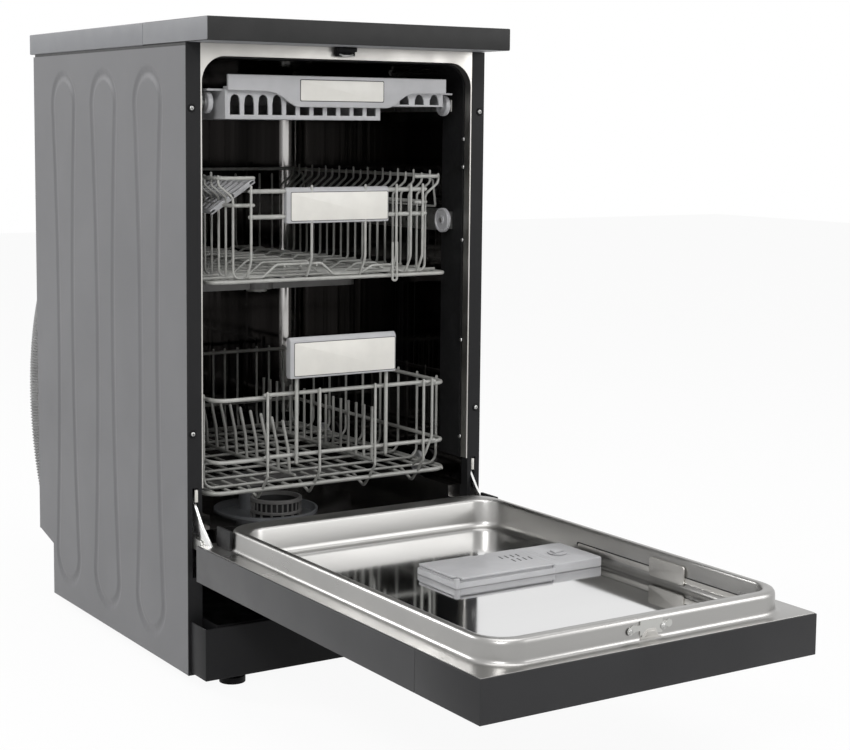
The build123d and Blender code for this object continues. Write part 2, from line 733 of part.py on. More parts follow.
# Walls of the lower rack, standing on its frame, and its fixed row of plate tines. The front wall leans
# out over the door's rim, which is there when the door is shut.
frame_top = lower_rack_floor + rail_wire / 2
front_wall_y = front + 9
upright_top = lower_rack_top + 4
tine_places = [y + shift * lower_pitch / 4 for y in lower_cross[1:-1] for shift in (-1, 1)]
row_y = (tine_places[0] - 5, tine_places[-1] + 5)
row_z = lower_grid_top + rail_wire / 2
side_places = (lower_cross[0] - lower_pitch / 2, lower_cross[-1] - lower_pitch / 2, 10)
with BuildPart() as lower_rack_walls:
    levels = (lower_rack_rail, lower_rack_top)
    pieces = [wire([(-150, front_wall_y, z), (156, front_wall_y, z)], rail_wire) for z in levels]
    for x in spread(-140, 146, 8):
        leaning = [(x, lower_near, frame_top), (x, lower_near, frame_top + 8),
                   (x, front_wall_y, frame_top + 27), (x, front_wall_y, lower_rack_top)]
        pieces.append(wire(leaning, rack_wire, 4))
    back_places = [(x, lower_far) for x in spread(-160, 160, 8)]
    pieces += rack_wall((-170, lower_far), (170, lower_far), levels, frame_top, upright_top, back_places)
    for side in (-1, 1):
        x = side * lower_rack_half
        pieces += rack_wall((x, lower_near + 2), (x, lower_far - 5), levels, frame_top, upright_top,
                            cross_places(x, *side_places))
    pieces += rack_wall((-45, row_y[0]), (-45, row_y[1]), (row_z,), row_z, row_z + 70,
                        [(-45, y) for y in tine_places])
    add(pieces)
write(lower_rack_walls, "lower_rack_walls")

with BuildPart() as folding_tines:
    add(rack_wall((tine_x, row_y[0]), (tine_x, row_y[1]), (tine_z,), tine_z, tine_z + 75,
                  [(tine_x, y) for y in tine_places]))
write(folding_tines, "folding_tines")
for axle_y, axle_name in zip(axle_places, ("front", "rear")):
    write(wheel_pair(axle_y, axle_z, wheel_x, wheel_width, wheel_radius, 3),
          f"lower_rack_{axle_name}_wheels")


def rack_handle(half_x, y, z, seat):
    """A moulded handle: a shell open to the rear, with a shallow seat in its face."""
    with BuildPart() as handle:
        block((-half_x, half_x), y, z)
        block((-half_x + 2.5, half_x - 2.5), (y[0] + 4.5, y[1] + 1), (z[0] + 2.5, z[1] - 2.5),
              mode=Mode.SUBTRACT)
        block((-seat[0], seat[0]), (y[0] - 1, y[0] + 1.5), seat[1], mode=Mode.SUBTRACT)
    return handle


def seat_plate(y, seat):
    """The plain plate that fills a handle's seat."""
    with BuildPart() as plate:
        block((-seat[0] + gap, seat[0] - gap), (y - 0.5, y + 1.5), (seat[1][0] + gap, seat[1][1] - gap))
    return plate


lower_handle_y = (front - 7, front + 5)
lower_seat = (76, (392, 437))
lower_handle = rack_handle(81, lower_handle_y, (387, 441), lower_seat)
with lower_handle:
    for side in (-1, 1):
        block((side * 66, side * 74), (front - 1, front_wall_y + 2), (lower_rack_top + rail_wire / 2, 390))
write(lower_handle, "lower_rack_handle")
write(seat_plate(lower_handle_y[0], lower_seat), "lower_handle_insert")

# Upper rack: base grid, the post of its spray arm and the tube that docks at the back wall.
upper_near = front + 21
upper_far = upper_near + upper_rack_depth
upper_hub_y = front + 240
upper_arm_low = 482
upper_cross = spread(upper_near + 30, upper_far - 20, 10)
upper_pitch = upper_cross[1] - upper_cross[0]
with BuildPart() as upper_rack_base:
    add(rack_base(upper_rack_half, upper_near, upper_far, upper_rack_floor, spread(-160, 160, 9),
                  upper_cross))
    rod((0, upper_hub_y, upper_arm_low - 1), (0, upper_hub_y, upper_rack_floor + 2), 10)
    rod((0, upper_hub_y, upper_arm_low - 4), (0, upper_hub_y, upper_arm_low - gap), 15)
    rod((0, upper_hub_y, upper_arm_low + arm_height + gap), (0, upper_hub_y, upper_rack_floor), 15)
    rod((0, upper_hub_y, feed_height), (0, feed_y - 14.5, feed_height), 7)
write(upper_rack_base, "upper_rack_base")

# Walls of the upper rack, with the runners on its rollers, the cup shelf's bearings and a row of bent tines.
upper_foot = upper_rack_floor + rail_wire / 2
upper_levels = (upper_rack_top - 50, upper_rack_top - 17)
bent_x = (150, 132)
bent_z = upper_rack_floor + cross_lift + rack_wire
shelf_x = -upper_rack_half + 9
shelf_z = 600
shelf_y = (front + 45, front + 255)
shelf_pin = 4
with BuildPart() as upper_rack_walls:
    front_places = [(x, upper_near) for x in spread(-160, 160, 10)]
    back_places = [(x, upper_far) for x in spread(-160, 160, 9)]
    pieces = rack_wall((-170, upper_near), (170, upper_near), upper_levels, upper_foot, upper_levels[1],
                       front_places)
    pieces += rack_wall((-170, upper_far), (170, upper_far), upper_levels, upper_foot, upper_rack_top,
                        back_places)
    side_places = (upper_cross[0] - upper_pitch / 2, upper_cross[-1] - upper_pitch / 2, 10)
    for side in (-1, 1):
        x = side * upper_rack_half
        pieces += rack_wall((x, upper_near + 4), (x, upper_far - 5), upper_levels, upper_foot,
                            upper_rack_top,
                            cross_places(x, *side_places))
    for y in spread(upper_near + 20, upper_far - 20, 13):
        bent = [(bent_x[0], y, bent_z), (bent_x[0], y, 612), (bent_x[1], y, 622), (bent_x[1], y, 656)]
        pieces.append(wire(bent, rack_wire, 5))
    pieces.append(wire([(bent_x[0], upper_near + 10, bent_z), (bent_x[0], upper_far - 10, bent_z)],
                       rack_wire))
    add(pieces)
    runner_z = upper_roller_height + upper_roller_radius + gap
    for side in (-1, 1):
        block((side * upper_rack_half, side * 193.5), (upper_near + 4, upper_far - 5),
              (runner_z, runner_z + 2.5))
    for y in (shelf_y[0] - 6, shelf_y[1] + 6):
        block((-upper_rack_half - 2, shelf_x + 6), (y - 3, y + 3), (shelf_z - 6, shelf_z + 6))
        rod((shelf_x, y - 4, shelf_z), (shelf_x, y + 4, shelf_z), shelf_pin + 0.06, mode=Mode.SUBTRACT)
write(upper_rack_walls, "upper_rack_walls")

upper_handle_y = (front + 9, front + 18.5)
upper_seat = (73, (593, 631))
upper_handle = rack_handle(78, upper_handle_y, (588, 635), upper_seat)
write(upper_handle, "upper_rack_handle")
write(seat_plate(upper_handle_y[0], upper_seat), "upper_handle_insert")
write(spray_arm(upper_hub_y, upper_arm_low, 160, 30, 10.06), "upper_spray_arm")

# Cup shelf: a slatted plate that tips on a rod along the left side of the upper rack.
shelf_tilt = radians(33)
with BuildPart() as cup_shelf:
    slope = Plane(origin=(shelf_x, shelf_y[0], shelf_z), x_dir=(cos(shelf_tilt), 0, sin(shelf_tilt)),
                  z_dir=(-sin(shelf_tilt), 0, cos(shelf_tilt)))
    with BuildSketch(slope) as plate:
        with Locations((42, (shelf_y[1] - shelf_y[0]) / 2)):
            Rectangle(78, shelf_y[1] - shelf_y[0])
            with Locations((3, 0)):
                with GridLocations(22, 26, 3, 8):
                    Rectangle(15, 19, mode=Mode.SUBTRACT)
    extrude(plate.sketch, amount=2, both=True)
    rod((shelf_x, shelf_y[0] - 9, shelf_z), (shelf_x, shelf_y[1] + 9, shelf_z), shelf_pin)
write(cup_shelf, "cup_shelf")

# Cutlery tray: a deep left part and a shallow right part, with side runners on the rollers.
tray_near = front + 12
tray_far = tray_near + tray_depth
tray_split = 65
tray_skin = 2.5
with BuildPart() as cutlery_tray:
    block((-tray_half, tray_split), (tray_near, tray_far), (tray_floor, tray_wall_top))
    block((tray_split, tray_half), (tray_near, tray_far), (tray_shallow_floor, tray_wall_top))
    block((-tray_half + tray_skin, tray_split - tray_skin), (tray_near + tray_skin, tray_far - tray_skin),
          (tray_floor + tray_skin, tray_wall_top + 1), mode=Mode.SUBTRACT)
    block((tray_split - tray_skin - 1, tray_half - tray_skin),
          (tray_near + tray_skin, tray_far - tray_skin),
          (tray_shallow_floor + tray_skin, tray_wall_top + 1), mode=Mode.SUBTRACT)
    with BuildSketch(across(tray_near - 1)) as arches:
        for x in spread(-tray_half + 14, tray_split - 14, 11):
            with Locations((x, 742)):
                SlotOverall(22, 13, rotation=90)
        for x in spread(tray_split + 14, tray_half - 14, 4):
            with Locations((x, 750)):
                SlotOverall(14, 12, rotation=90)
    extrude(arches.sketch, amount=-tray_skin - 2, mode=Mode.SUBTRACT)
    slots = spread(tray_near + 30, tray_far - 30, 9)
    for x in spread(-tray_half + 22, tray_split - 22, 7):
        for y in slots:
            block((x - 9, x + 9), (y - 16, y + 16), (tray_floor - 1, tray_floor + tray_skin + 1),
                  mode=Mode.SUBTRACT)
    for x in spread(tray_split + 17, tray_half - 17, 3):
        for y in slots:
            block((x - 9, x + 9), (y - 16, y + 16),
                  (tray_shallow_floor - 1, tray_shallow_floor + tray_skin + 1),
                  mode=Mode.SUBTRACT)
    tray_runner = tray_roller_height + tray_roller_radius + gap
    for side in (-1, 1):
        block((side * (tray_half - 1), side * 186), (front + 20, tray_far),
              (tray_runner, tray_runner + 2.5))
write(cutlery_tray, "cutlery_tray")

with BuildPart() as tray_fascia:
    fascia_line = ((-tray_half, 778), (tray_half, 778), (tray_half, 758), (112, 757), (84, 745),
                   (74, 738), (-66, 738),
                   (-76, 745), (-102, 757), (-tray_half, 758))
    prism(across(front + 3.5), fascia_line, -4.5)
    block((-tray_half, tray_half), (front + 7, tray_near + 6), (tray_wall_top + gap, 763))
    block((-61, 65), (front + 2, front + 5), (746, 773), mode=Mode.SUBTRACT)
write(tray_fascia, "tray_fascia")

with BuildPart() as tray_insert:
    block((-61 + gap, 65 - gap), (front + 3, front + 5), (746 + gap, 773 - gap))
write(tray_insert, "tray_insert")

# Door panel: a shallow tray with arm slots in its rear wall and a dark flap below the hinge.
panel_y = (front - door_seam, front - door_gap)
pan_half = well_half + sheet + gap
pan_z = (well_floor - sheet - gap, door_lid + 1)
with BuildPart() as door_panel:
    block((-half_width, half_width), panel_y, (door_face, door_lid))
    block((-half_width + sheet, half_width - sheet), (panel_y[0] + sheet, panel_y[1] - sheet),
          (door_face + sheet, door_lid + 1), mode=Mode.SUBTRACT)
    for side in (-1, 1):
        block((side * slot_x[0], side * slot_x[1]), (panel_y[1] - 2, panel_y[1] + 1),
              (door_face + sheet, door_lid + 1),
              mode=Mode.SUBTRACT)
    block((-flap_half, flap_half), (panel_y[1] - sheet, front + flap_reach),
          (door_face, door_face + thick_sheet))
    block((-pan_half, pan_half), (panel_y[0] - 1, panel_y[0] + sheet + 1), pan_z, mode=Mode.SUBTRACT)
write(door_panel, "door_panel")

# Control panel at the door's far end, with a finger recess and two button holes.
control_y = (front - door_reach, panel_y[0] - 0.5)
control_wall = 2.5
button_y = front - 610
button_radius = 7
button_x = {"programme_button": 120, "power_button": 150}
grip_y = (front - 580, front - 545)
grip_half = 70
with BuildPart() as control_panel:
    block((-half_width, half_width), control_y, (door_face, door_lid))
    block((-half_width + control_wall, half_width - control_wall), (control_y[0] + control_wall,
                                                                    control_y[1] - control_wall),
          (door_face + control_wall, door_lid + 1), mode=Mode.SUBTRACT)
    cup_x = (-grip_half - control_wall, grip_half + control_wall)
    cup_y = (grip_y[0] - control_wall, grip_y[1] + control_wall)
    block(cup_x, cup_y, (door_face + control_wall + gap / 6, door_face + 22))
    block((-grip_half, grip_half), grip_y, (door_face - 1, door_face + 20), mode=Mode.SUBTRACT)
    for x in button_x.values():
        rod((x, button_y, door_face), (x, button_y, door_face + 12), button_radius + 2)
        rod((x, button_y, door_face - 1), (x, button_y, door_face + 13), button_radius + 0.35,
            mode=Mode.SUBTRACT)
    block((-pan_half, pan_half), (control_y[1] - control_wall - 1, control_y[1] + 1), pan_z,
          mode=Mode.SUBTRACT)
write(control_panel, "control_panel")

for button_name, x in button_x.items():
    with BuildPart() as button:
        rod((x, button_y, door_face - 1), (x, button_y, door_face + 9), button_radius)
    write(button, button_name)

# Door liner: a steel pan with a raised rim, a deep well and slots for the hinge arms.
dispenser_x = (-40, 178)
dispenser_y = (front - 332, front - 245)
box_inset = 4
with BuildPart() as door_liner:
    block((-half_width + sheet, half_width - sheet), (front - 642, front - 25),
          (door_lid, door_lid + sheet))
    slab(rim_half, (front - rim_front, front - rim_rear), (door_lid, rim_top), rim_corner)
    slab(rim_half - sheet, (front - rim_front + sheet, front - rim_rear - sheet),
         (door_lid - 1, rim_top - sheet),
         rim_corner - sheet, mode=Mode.SUBTRACT)
    slab(well_half + sheet, (front - well_front - sheet, front - well_rear + sheet),
         (well_floor - sheet, rim_top), 31)
    slab(well_half, (front - well_front, front - well_rear), (well_floor, rim_top + 1), 30,
         mode=Mode.SUBTRACT)
    for side in (-1, 1):
        block((side * slot_x[0], side * (slot_x[1] + 0.5)), (front - 62, front - 24),
              (door_lid - 1, door_lid + 2),
              mode=Mode.SUBTRACT)
    block((dispenser_x[0] + box_inset - gap, dispenser_x[1] - box_inset + gap),
          (dispenser_y[0] + box_inset - gap, dispenser_y[1] - box_inset + gap), (well_floor - 2,
                                                                                 well_floor + 1),
          mode=Mode.SUBTRACT)
write(door_liner, "door_liner")

# Dispenser: a box sunk through the well, with a detergent cup and a raised dial boss.
lid_x = (-38, 103)
dial = (140, front - 290)
with BuildPart() as dispenser:
    block(dispenser_x, dispenser_y, (well_floor, door_lid))
    block((lid_x[1] + 1, dispenser_x[1]), dispenser_y, (door_lid, 190))
    block((dispenser_x[0] + box_inset, dispenser_x[1] - box_inset),
          (dispenser_y[0] + box_inset, dispenser_y[1] - box_inset),
          (152, well_floor))
    block((-34, 99), (dispenser_y[0] + 8, dispenser_y[1] - 10), (158, 190), mode=Mode.SUBTRACT)
    rod((*dial, 180), (*dial, 191), 3.06, mode=Mode.SUBTRACT)
write(dispenser, "dispenser")

lid_axis = (front - 247, door_lid + gap + 1.35)
with BuildPart() as detergent_lid:
    block(lid_x, (dispenser_y[0], lid_axis[0]), (lid_axis[1] - 1.35, lid_axis[1] + 1.35))
    rod((lid_x[0], *lid_axis), (lid_x[1], *lid_axis), 1.35)
write(detergent_lid, "detergent_lid")

with BuildPart() as rinse_dial:
    rod((*dial, 190 + gap), (*dial, 194), 12)
    rod((*dial, 181), (*dial, 191), 3)
    block((dial[0] - 1.5, dial[0] + 1.5), (dial[1] - 10, dial[1] + 10), (192.5, 195), mode=Mode.SUBTRACT)
write(rinse_dial, "rinse_dial")

# Latch plate on the far wall of the pan, with its two screws.
latch_y = front - rim_front
with BuildPart() as door_latch:
    block((-15, 15), (latch_y - 1.2, latch_y), (196, 211))
    for side in (-1, 1):
        rod((side * 24, latch_y - 1.5, 204), (side * 24, latch_y, 204), 4)
        block((side * 14, side * 24), (latch_y - 1.2, latch_y), (201, 207))
write(door_latch, "door_latch")

# Hinge arms: bent plates that leave the door through its slots and turn on the bracket pins.
with BuildPart() as hinge_arms:
    arm_line = ((-120, 150), (-120, 184), (-52, 184), (-14, 214), (14, 247), (22, 240), (4, 186),
                (-5, 176), (-28, 176),
                (-50, 150))
    for side in (-1, 1):
        prism(beside(side * arm_x), [(front + y, z) for y, z in arm_line], side * arm_thickness)
        rod((side * (arm_x - 1), hinge_y, hinge_height), (side * (arm_x + arm_thickness + 1), hinge_y,
                                                          hinge_height),
            pin_bore, mode=Mode.SUBTRACT)
        foot_x = (side * (arm_x + arm_thickness), side * (half_width - sheet))
        block(foot_x, (front - 118, front - 60), (150, 152))
write(hinge_arms, "hinge_arms")

# Rubber seal along the door's hinge edge, with an end piece at each corner.
with BuildPart() as bottom_seal:
    block((-199, 199), (front - 43.7, front - 27), (door_lid + sheet, 200))
    for side in (-1, 1):
        block((side * 200.3, side * 204), (front - 76, front - 39), (door_lid + sheet, 214))
        block((side * 198, side * 204), (front - 43.7, front - 39), (door_lid + sheet, 200))
write(bottom_seal, "bottom_seal")
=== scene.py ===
# %% [markdown]
# A slim freestanding dishwasher with its door down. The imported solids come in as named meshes, each already in
# its place, and this lesson dresses them: first the camera and the light, then one finish for each real material,
# then the pieces whose moulded or pressed shape is worth modelling again with Blender's own mesh operators.

# %% Load the solids and keep their box
import json
import math

import bmesh
import bpy
from mathutils import Matrix, Vector
from mathutils.kdtree import KDTree


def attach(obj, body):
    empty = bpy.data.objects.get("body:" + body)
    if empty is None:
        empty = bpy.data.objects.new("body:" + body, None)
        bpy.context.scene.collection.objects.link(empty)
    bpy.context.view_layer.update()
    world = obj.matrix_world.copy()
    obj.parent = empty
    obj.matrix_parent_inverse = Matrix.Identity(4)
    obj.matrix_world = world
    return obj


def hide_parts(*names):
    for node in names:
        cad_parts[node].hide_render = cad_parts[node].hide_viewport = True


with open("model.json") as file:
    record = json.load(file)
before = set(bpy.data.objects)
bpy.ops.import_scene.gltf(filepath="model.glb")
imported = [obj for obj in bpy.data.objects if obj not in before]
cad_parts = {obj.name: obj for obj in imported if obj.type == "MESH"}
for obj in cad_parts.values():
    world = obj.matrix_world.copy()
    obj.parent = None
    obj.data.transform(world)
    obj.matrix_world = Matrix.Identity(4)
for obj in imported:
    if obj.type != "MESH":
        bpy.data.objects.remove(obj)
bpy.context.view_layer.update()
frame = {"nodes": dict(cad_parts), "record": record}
nodes = frame["nodes"]

# %% [markdown]
# The picture was taken from the left of the machine, a little below the worktop's height, with a long lens.
# A camera is fully described by its place, the way it looks and its lens, so these are written as numbers that
# came from matching corners of the cabinet and door. A small lens shift stands for the way the picture was cropped.

# %% Camera
FRONT = 0.020  # the cabinet's front plane in Y
PICTURE_WIDTH = 850
SENSOR_WIDTH = 36.0  # mm
camera_place = Vector((-1.1628, -1.9612 + FRONT, 0.7143))
camera_yaw, camera_pitch, camera_roll = (math.radians(a) for a in (32.10, -6.20, 0.44))
camera_focal_px = 1737.0
picture_shift_px = (40, -60)

camera_data = bpy.data.cameras.new("camera")
camera_data.sensor_width = SENSOR_WIDTH
camera_data.lens = camera_focal_px / PICTURE_WIDTH * SENSOR_WIDTH
camera_data.shift_x, camera_data.shift_y = (px / PICTURE_WIDTH for px in picture_shift_px)
camera = bpy.data.objects.new("camera", camera_data)
bpy.context.scene.collection.objects.link(camera)
looking = Vector((
    math.sin(camera_yaw) * math.cos(camera_pitch),
    math.cos(camera_yaw) * math.cos(camera_pitch),
    math.sin(camera_pitch),
))
turn = looking.to_track_quat("-Z", "Y").to_matrix().to_4x4()
camera.matrix_world = Matrix.Translation(camera_place) @ turn @ Matrix.Rotation(camera_roll, 4, "Z")
bpy.context.scene.camera = camera
print("lens", round(camera_data.lens, 1), "mm at", [round(v, 3) for v in camera_place])

# %% [markdown]
# The machine stands in a plain pale studio. Large area lamps give soft light, and the background is white only to
# the camera and to mirrors, through the Light Path node, so the metal has something bright to reflect while the
# lamps alone decide how light the paint looks.

# %% Screen colours
bpy.context.scene.view_settings.view_transform = "Standard"


def tone(red, green, blue):
    """A colour as seen on screen, from 0 to 255, turned into Blender's linear colour."""
    linear = []
    for value in (red, green, blue):
        v = value / 255
        linear.append(v / 12.92 if v <= 0.04045 else ((v + 0.055) / 1.055) ** 2.4)
    return (*linear, 1.0)


print("middle grey 128 is", round(tone(128, 128, 128)[0], 3), "in linear light")

# %% The world
WORLD_LIGHT, BACKGROUND = 0.20, 1.0  # strength on the object, and as the camera and mirrors see it
WHITE = (1, 1, 1, 1)


def larger(tree, first, second):
    """The larger of two values, by a Math node."""
    node = tree.nodes.new("ShaderNodeMath")
    node.operation = "MAXIMUM"
    tree.links.new(first, node.inputs[0])
    tree.links.new(second, node.inputs[1])
    return node.outputs[0]


world = bpy.data.worlds.new("studio")
bpy.context.scene.world = world
world.use_nodes = True
sky = world.node_tree
sky.nodes.clear()
rays = sky.nodes.new("ShaderNodeLightPath")
seen_through = larger(sky, rays.outputs["Is Camera Ray"], rays.outputs["Is Transmission Ray"])
seen_or_mirrored = larger(sky, seen_through, rays.outputs["Is Glossy Ray"])
level = sky.nodes.new("ShaderNodeMapRange")
level.inputs["To Min"].default_value = WORLD_LIGHT
level.inputs["To Max"].default_value = BACKGROUND
sky.links.new(seen_or_mirrored, level.inputs["Value"])
glow = sky.nodes.new("ShaderNodeBackground")
glow.inputs["Color"].default_value = WHITE
sky.links.new(level.outputs["Result"], glow.inputs["Strength"])
sky.links.new(glow.outputs[0], sky.nodes.new("ShaderNodeOutputWorld").inputs["Surface"])
print("world strength:", WORLD_LIGHT, "on the object,", BACKGROUND, "behind it")

# %% The studio's floor and lamps
FLOOR_HALF = 9  # metres
floor_mesh = bmesh.new()
bmesh.ops.create_grid(floor_mesh, x_segments=1, y_segments=1, size=FLOOR_HALF)
floor_data = bpy.data.meshes.new("studio_floor")
floor_mesh.to_mesh(floor_data)
floor_mesh.free()
floor = bpy.data.objects.new("studio_floor", floor_data)
bpy.context.scene.collection.objects.link(floor)


def add_lamp(name, place, target, size, power):
    """An area lamp that shines from its place towards a target, with its size in metres and power in watts."""
    data = bpy.data.lights.new(name, "AREA")
    data.shape = "RECTANGLE"
    data.size, data.size_y = size
    data.energy = power
    lamp = bpy.data.objects.new(name, data)
    bpy.context.scene.collection.objects.link(lamp)
    lamp.location = place
    lamp.rotation_euler = (Vector(target) - Vector(place)).to_track_quat("-Z", "Y").to_euler()


add_lamp("softbox_front_left", (-2.0, -2.6, 2.5), (0, 0, 0.55), (0.9, 0.9), 62)
add_lamp("softbox_rear_left", (-2.0, 2.5, 2.1), (-0.22, 0.27, 0.5), (0.7, 0.7), 44)
add_lamp("softbox_front_right", (2.4, -2.6, 1.7), (0, 0, 0.5), (1.4, 1.8), 36)
add_lamp("softbox_above", (0.2, -0.6, 3.2), (0, -0.2, 0.3), (2.4, 2.4), 52)

# %% [markdown]
# Every real finish is uneven at some scale. Enamel has a fine orange peel, moulded plastic a matt grain, and
# rolled steel long streaks along the way it was rolled, with a few dull smudges. One helper builds them all from
# three noises on Object coordinates: one for the colour, one for the roughness and one for the height.

# %% Noises and blends
NOISE_SPAN = (0.3, 0.7)


def noise(tree, scale, detail, stretch, distortion=0.0):
    """A noise on Object coordinates, in periods a metre, stretched by the given scales."""
    place = tree.nodes.new("ShaderNodeTexCoord")
    mapping = tree.nodes.new("ShaderNodeMapping")
    mapping.inputs["Scale"].default_value = stretch
    tree.links.new(place.outputs["Object"], mapping.inputs["Vector"])
    texture = tree.nodes.new("ShaderNodeTexNoise")
    texture.inputs["Scale"].default_value = scale
    texture.inputs["Detail"].default_value = detail
    texture.inputs["Distortion"].default_value = distortion
    tree.links.new(mapping.outputs["Vector"], texture.inputs["Vector"])
    return texture.outputs["Fac"]


def span(tree, value, low, high):
    """Spreads a noise value, which mostly lies near one half, between two limits."""
    ranged = tree.nodes.new("ShaderNodeMapRange")
    ranged.inputs["From Min"].default_value, ranged.inputs["From Max"].default_value = NOISE_SPAN
    ranged.inputs["To Min"].default_value = low
    ranged.inputs["To Max"].default_value = high
    tree.links.new(value, ranged.inputs["Value"])
    return ranged.outputs["Result"]


def blend_tones(tree, factor, first, second):
    """A colour between two tones."""
    mix = tree.nodes.new("ShaderNodeMix")
    mix.data_type = "RGBA"
    tree.links.new(factor, mix.inputs["Factor"])
    for socket, colour in (("A", first), ("B", second)):
        [s for s in mix.inputs if s.name == socket and s.type == "RGBA"][0].default_value = colour
    return [s for s in mix.outputs if s.type == "RGBA"][0]


print("noises and blends ready")

# %% A helper for finishes
SMUDGE_SCALE, SMUDGE_WARP, BUMP_STRENGTH = 1.7, 0.4, 0.5


def make_finish(name, colour, spread, roughness, metallic=0.0, patch=12, streak=(1, 1, 1),
                grain=900, height=0.00002, gloss=0.5):
    """A finish whose colour wanders by spread and its roughness between two values, with a fine height grain.

    Patch and grain are noise scales, streak stretches them, and height is the grain's depth in metres.
    """
    material = bpy.data.materials.new(name)
    material.use_nodes = True
    tree = material.node_tree
    shader = tree.nodes["Principled BSDF"]
    darker = tone(*[c * (1 - spread) for c in colour])
    lighter = tone(*[min(255, c * (1 + spread)) for c in colour])
    cloud = span(tree, noise(tree, patch, 4.0, streak), 0, 1)
    tree.links.new(blend_tones(tree, cloud, darker, lighter), shader.inputs["Base Color"])
    smudge = span(tree, noise(tree, patch * SMUDGE_SCALE, 5.0, streak, SMUDGE_WARP), *roughness)
    tree.links.new(smudge, shader.inputs["Roughness"])
    bump = tree.nodes.new("ShaderNodeBump")
    bump.inputs["Strength"].default_value = BUMP_STRENGTH
    bump.inputs["Distance"].default_value = height
    tree.links.new(noise(tree, grain, 2.0, streak), bump.inputs["Height"])
    tree.links.new(bump.outputs["Normal"], shader.inputs["Normal"])
    shader.inputs["Metallic"].default_value = metallic
    shader.inputs["Specular IOR Level"].default_value = gloss
    return material


print("smudges are", SMUDGE_SCALE, "times finer than patches of colour")

# %% [markdown]
# The outside is powder enamel on steel, a laminate board and moulded plastic. The studio is white to mirrors, and
# that would lift the dark ones to grey, so their gloss is set below the usual 0.5.

# %% Painted, laminated and moulded outsides
finishes = {
    "cabinet_grey": make_finish("grey_enamel", (116, 116, 118), 0.02, (0.40, 0.50), patch=5, grain=700, gloss=0.3),
    "post_black": make_finish("black_enamel", (36, 36, 37), 0.05, (0.34, 0.46), patch=9, grain=800, gloss=0.1),
    "worktop_grey": make_finish("worktop_laminate", (134, 135, 138), 0.02, (0.46, 0.51), patch=25, grain=1500,
                                gloss=0.3),
    "trim_dark": make_finish("worktop_edge", (50, 50, 50), 0.04, (0.36, 0.46), patch=40, grain=1400, gloss=0.1),
    "door_dark": make_finish("door_enamel", (72, 72, 73), 0.04, (0.34, 0.44), patch=8, grain=900, gloss=0.2),
    "control_dark": make_finish("panel_plastic", (52, 52, 53), 0.03, (0.30, 0.40), patch=14, grain=1600, gloss=0.12),
    "base_black": make_finish("base_plastic", (24, 24, 25), 0.08, (0.42, 0.6), patch=30, grain=1200, gloss=0.1),
    "gasket_rubber": make_finish("gasket_rubber", (22, 22, 23), 0.10, (0.40, 0.62), patch=40, grain=1400, gloss=0.3),
}
print("outside finishes:", len(finishes))

# %% [markdown]
# The tub is polished steel that mirrors the racks in dark upright streaks, while the flange and the pan are duller. Its
# colour is set far darker than steel's own, as painted shade for the inside of the tub.
# A picture of steel would only suit one view. A metal that mirrors the real scene, with a low roughness that wanders,
# suits them all, and a long stretch of the noise draws the rolling marks.

# %% Sheet steel and fixings
finishes.update({
    # The tub's dark colour is painted shade: real steel reflects far more light than this.
    "tub_steel": make_finish("tub_sheet_painted_shade", (74, 72, 71), 0.28, (0.05, 0.12), 1.0, patch=16,
                             streak=(1, 1, 0.03), grain=40, height=0.0012),
    "flange_steel": make_finish("flange_sheet", (186, 184, 180), 0.05, (0.30, 0.46), 1.0, patch=14, grain=500),
    "liner_steel": make_finish("pan_sheet", (160, 159, 157), 0.03, (0.26, 0.36), 1.0, patch=9,
                               streak=(0.2, 1, 1), grain=420, height=0.000008),
    "zinc_steel": make_finish("zinc_sheet", (182, 182, 179), 0.02, (0.36, 0.42), 1.0, patch=16, grain=900),
    "fixing_steel": make_finish("screw_steel", (176, 176, 174), 0.10, (0.25, 0.45), 1.0, patch=80, grain=1500),
    "button_metal": make_finish("button_cap", (196, 196, 196), 0.03, (0.14, 0.22), 1.0, patch=90, grain=1500),
})
print("with steel:", len(finishes))

# %% [markdown]
# The racks' wires are dipped in a soft grey coat, and the grips and the tray are moulded in the same grey. Both are
# plain dielectrics, so a matt grain and a small change of roughness are enough.

# %% Plastics and coated wire
finishes.update({
    "inner_plastic": make_finish("pump_plastic", (112, 114, 117), 0.05, (0.4, 0.55), patch=30, grain=1200),
    "hose_grey": make_finish("hose_plastic", (150, 150, 150), 0.05, (0.45, 0.6), patch=40, grain=1500),
    "wire_grey": make_finish("coated_wire", (158, 158, 154), 0.05, (0.28, 0.44), patch=90, grain=1600),
    "rack_plastic": make_finish("rack_plastic", (170, 170, 172), 0.03, (0.36, 0.48), patch=30, grain=2200),
    "insert_light": make_finish("insert_plate", (214, 212, 206), 0.02, (0.3, 0.42), patch=40, grain=2000),
})
print("all finishes:", len(finishes))

# %% [markdown]
# The imported record names one material slot for each solid, but a few finishes are wanted besides: a near black that
# is painted shade for narrow gaps, grooves, slots and recesses, the grey of the filter and spray arms, and the duller
# steel of the tub's floor, which is also painted lighter than the walls as painted light.

# %% Painted shade for gaps and grooves, the filter and the tub's floor
filter_plastic = make_finish("filter_plastic", (112, 111, 110), 0.04, (0.4, 0.55), patch=40, grain=1600)
# The tub's floor is the same steel as its walls, painted lighter than them: painted light, for the highlights on the
# floor.
floor_steel = make_finish("tub_floor_painted_light", (128, 126, 124), 0.08, (0.14, 0.26), 1.0, patch=11, grain=240)
# Painted shade: a near black laid where the machine has gaps, grooves, slots and recesses that lie in shade.
shadow = make_finish("painted_shade_finish", (30, 30, 31), 0.05, (0.5, 0.6), patch=60, grain=1200)
print("finishes outside the slots:", [m.name for m in (filter_plastic, floor_steel, shadow)])

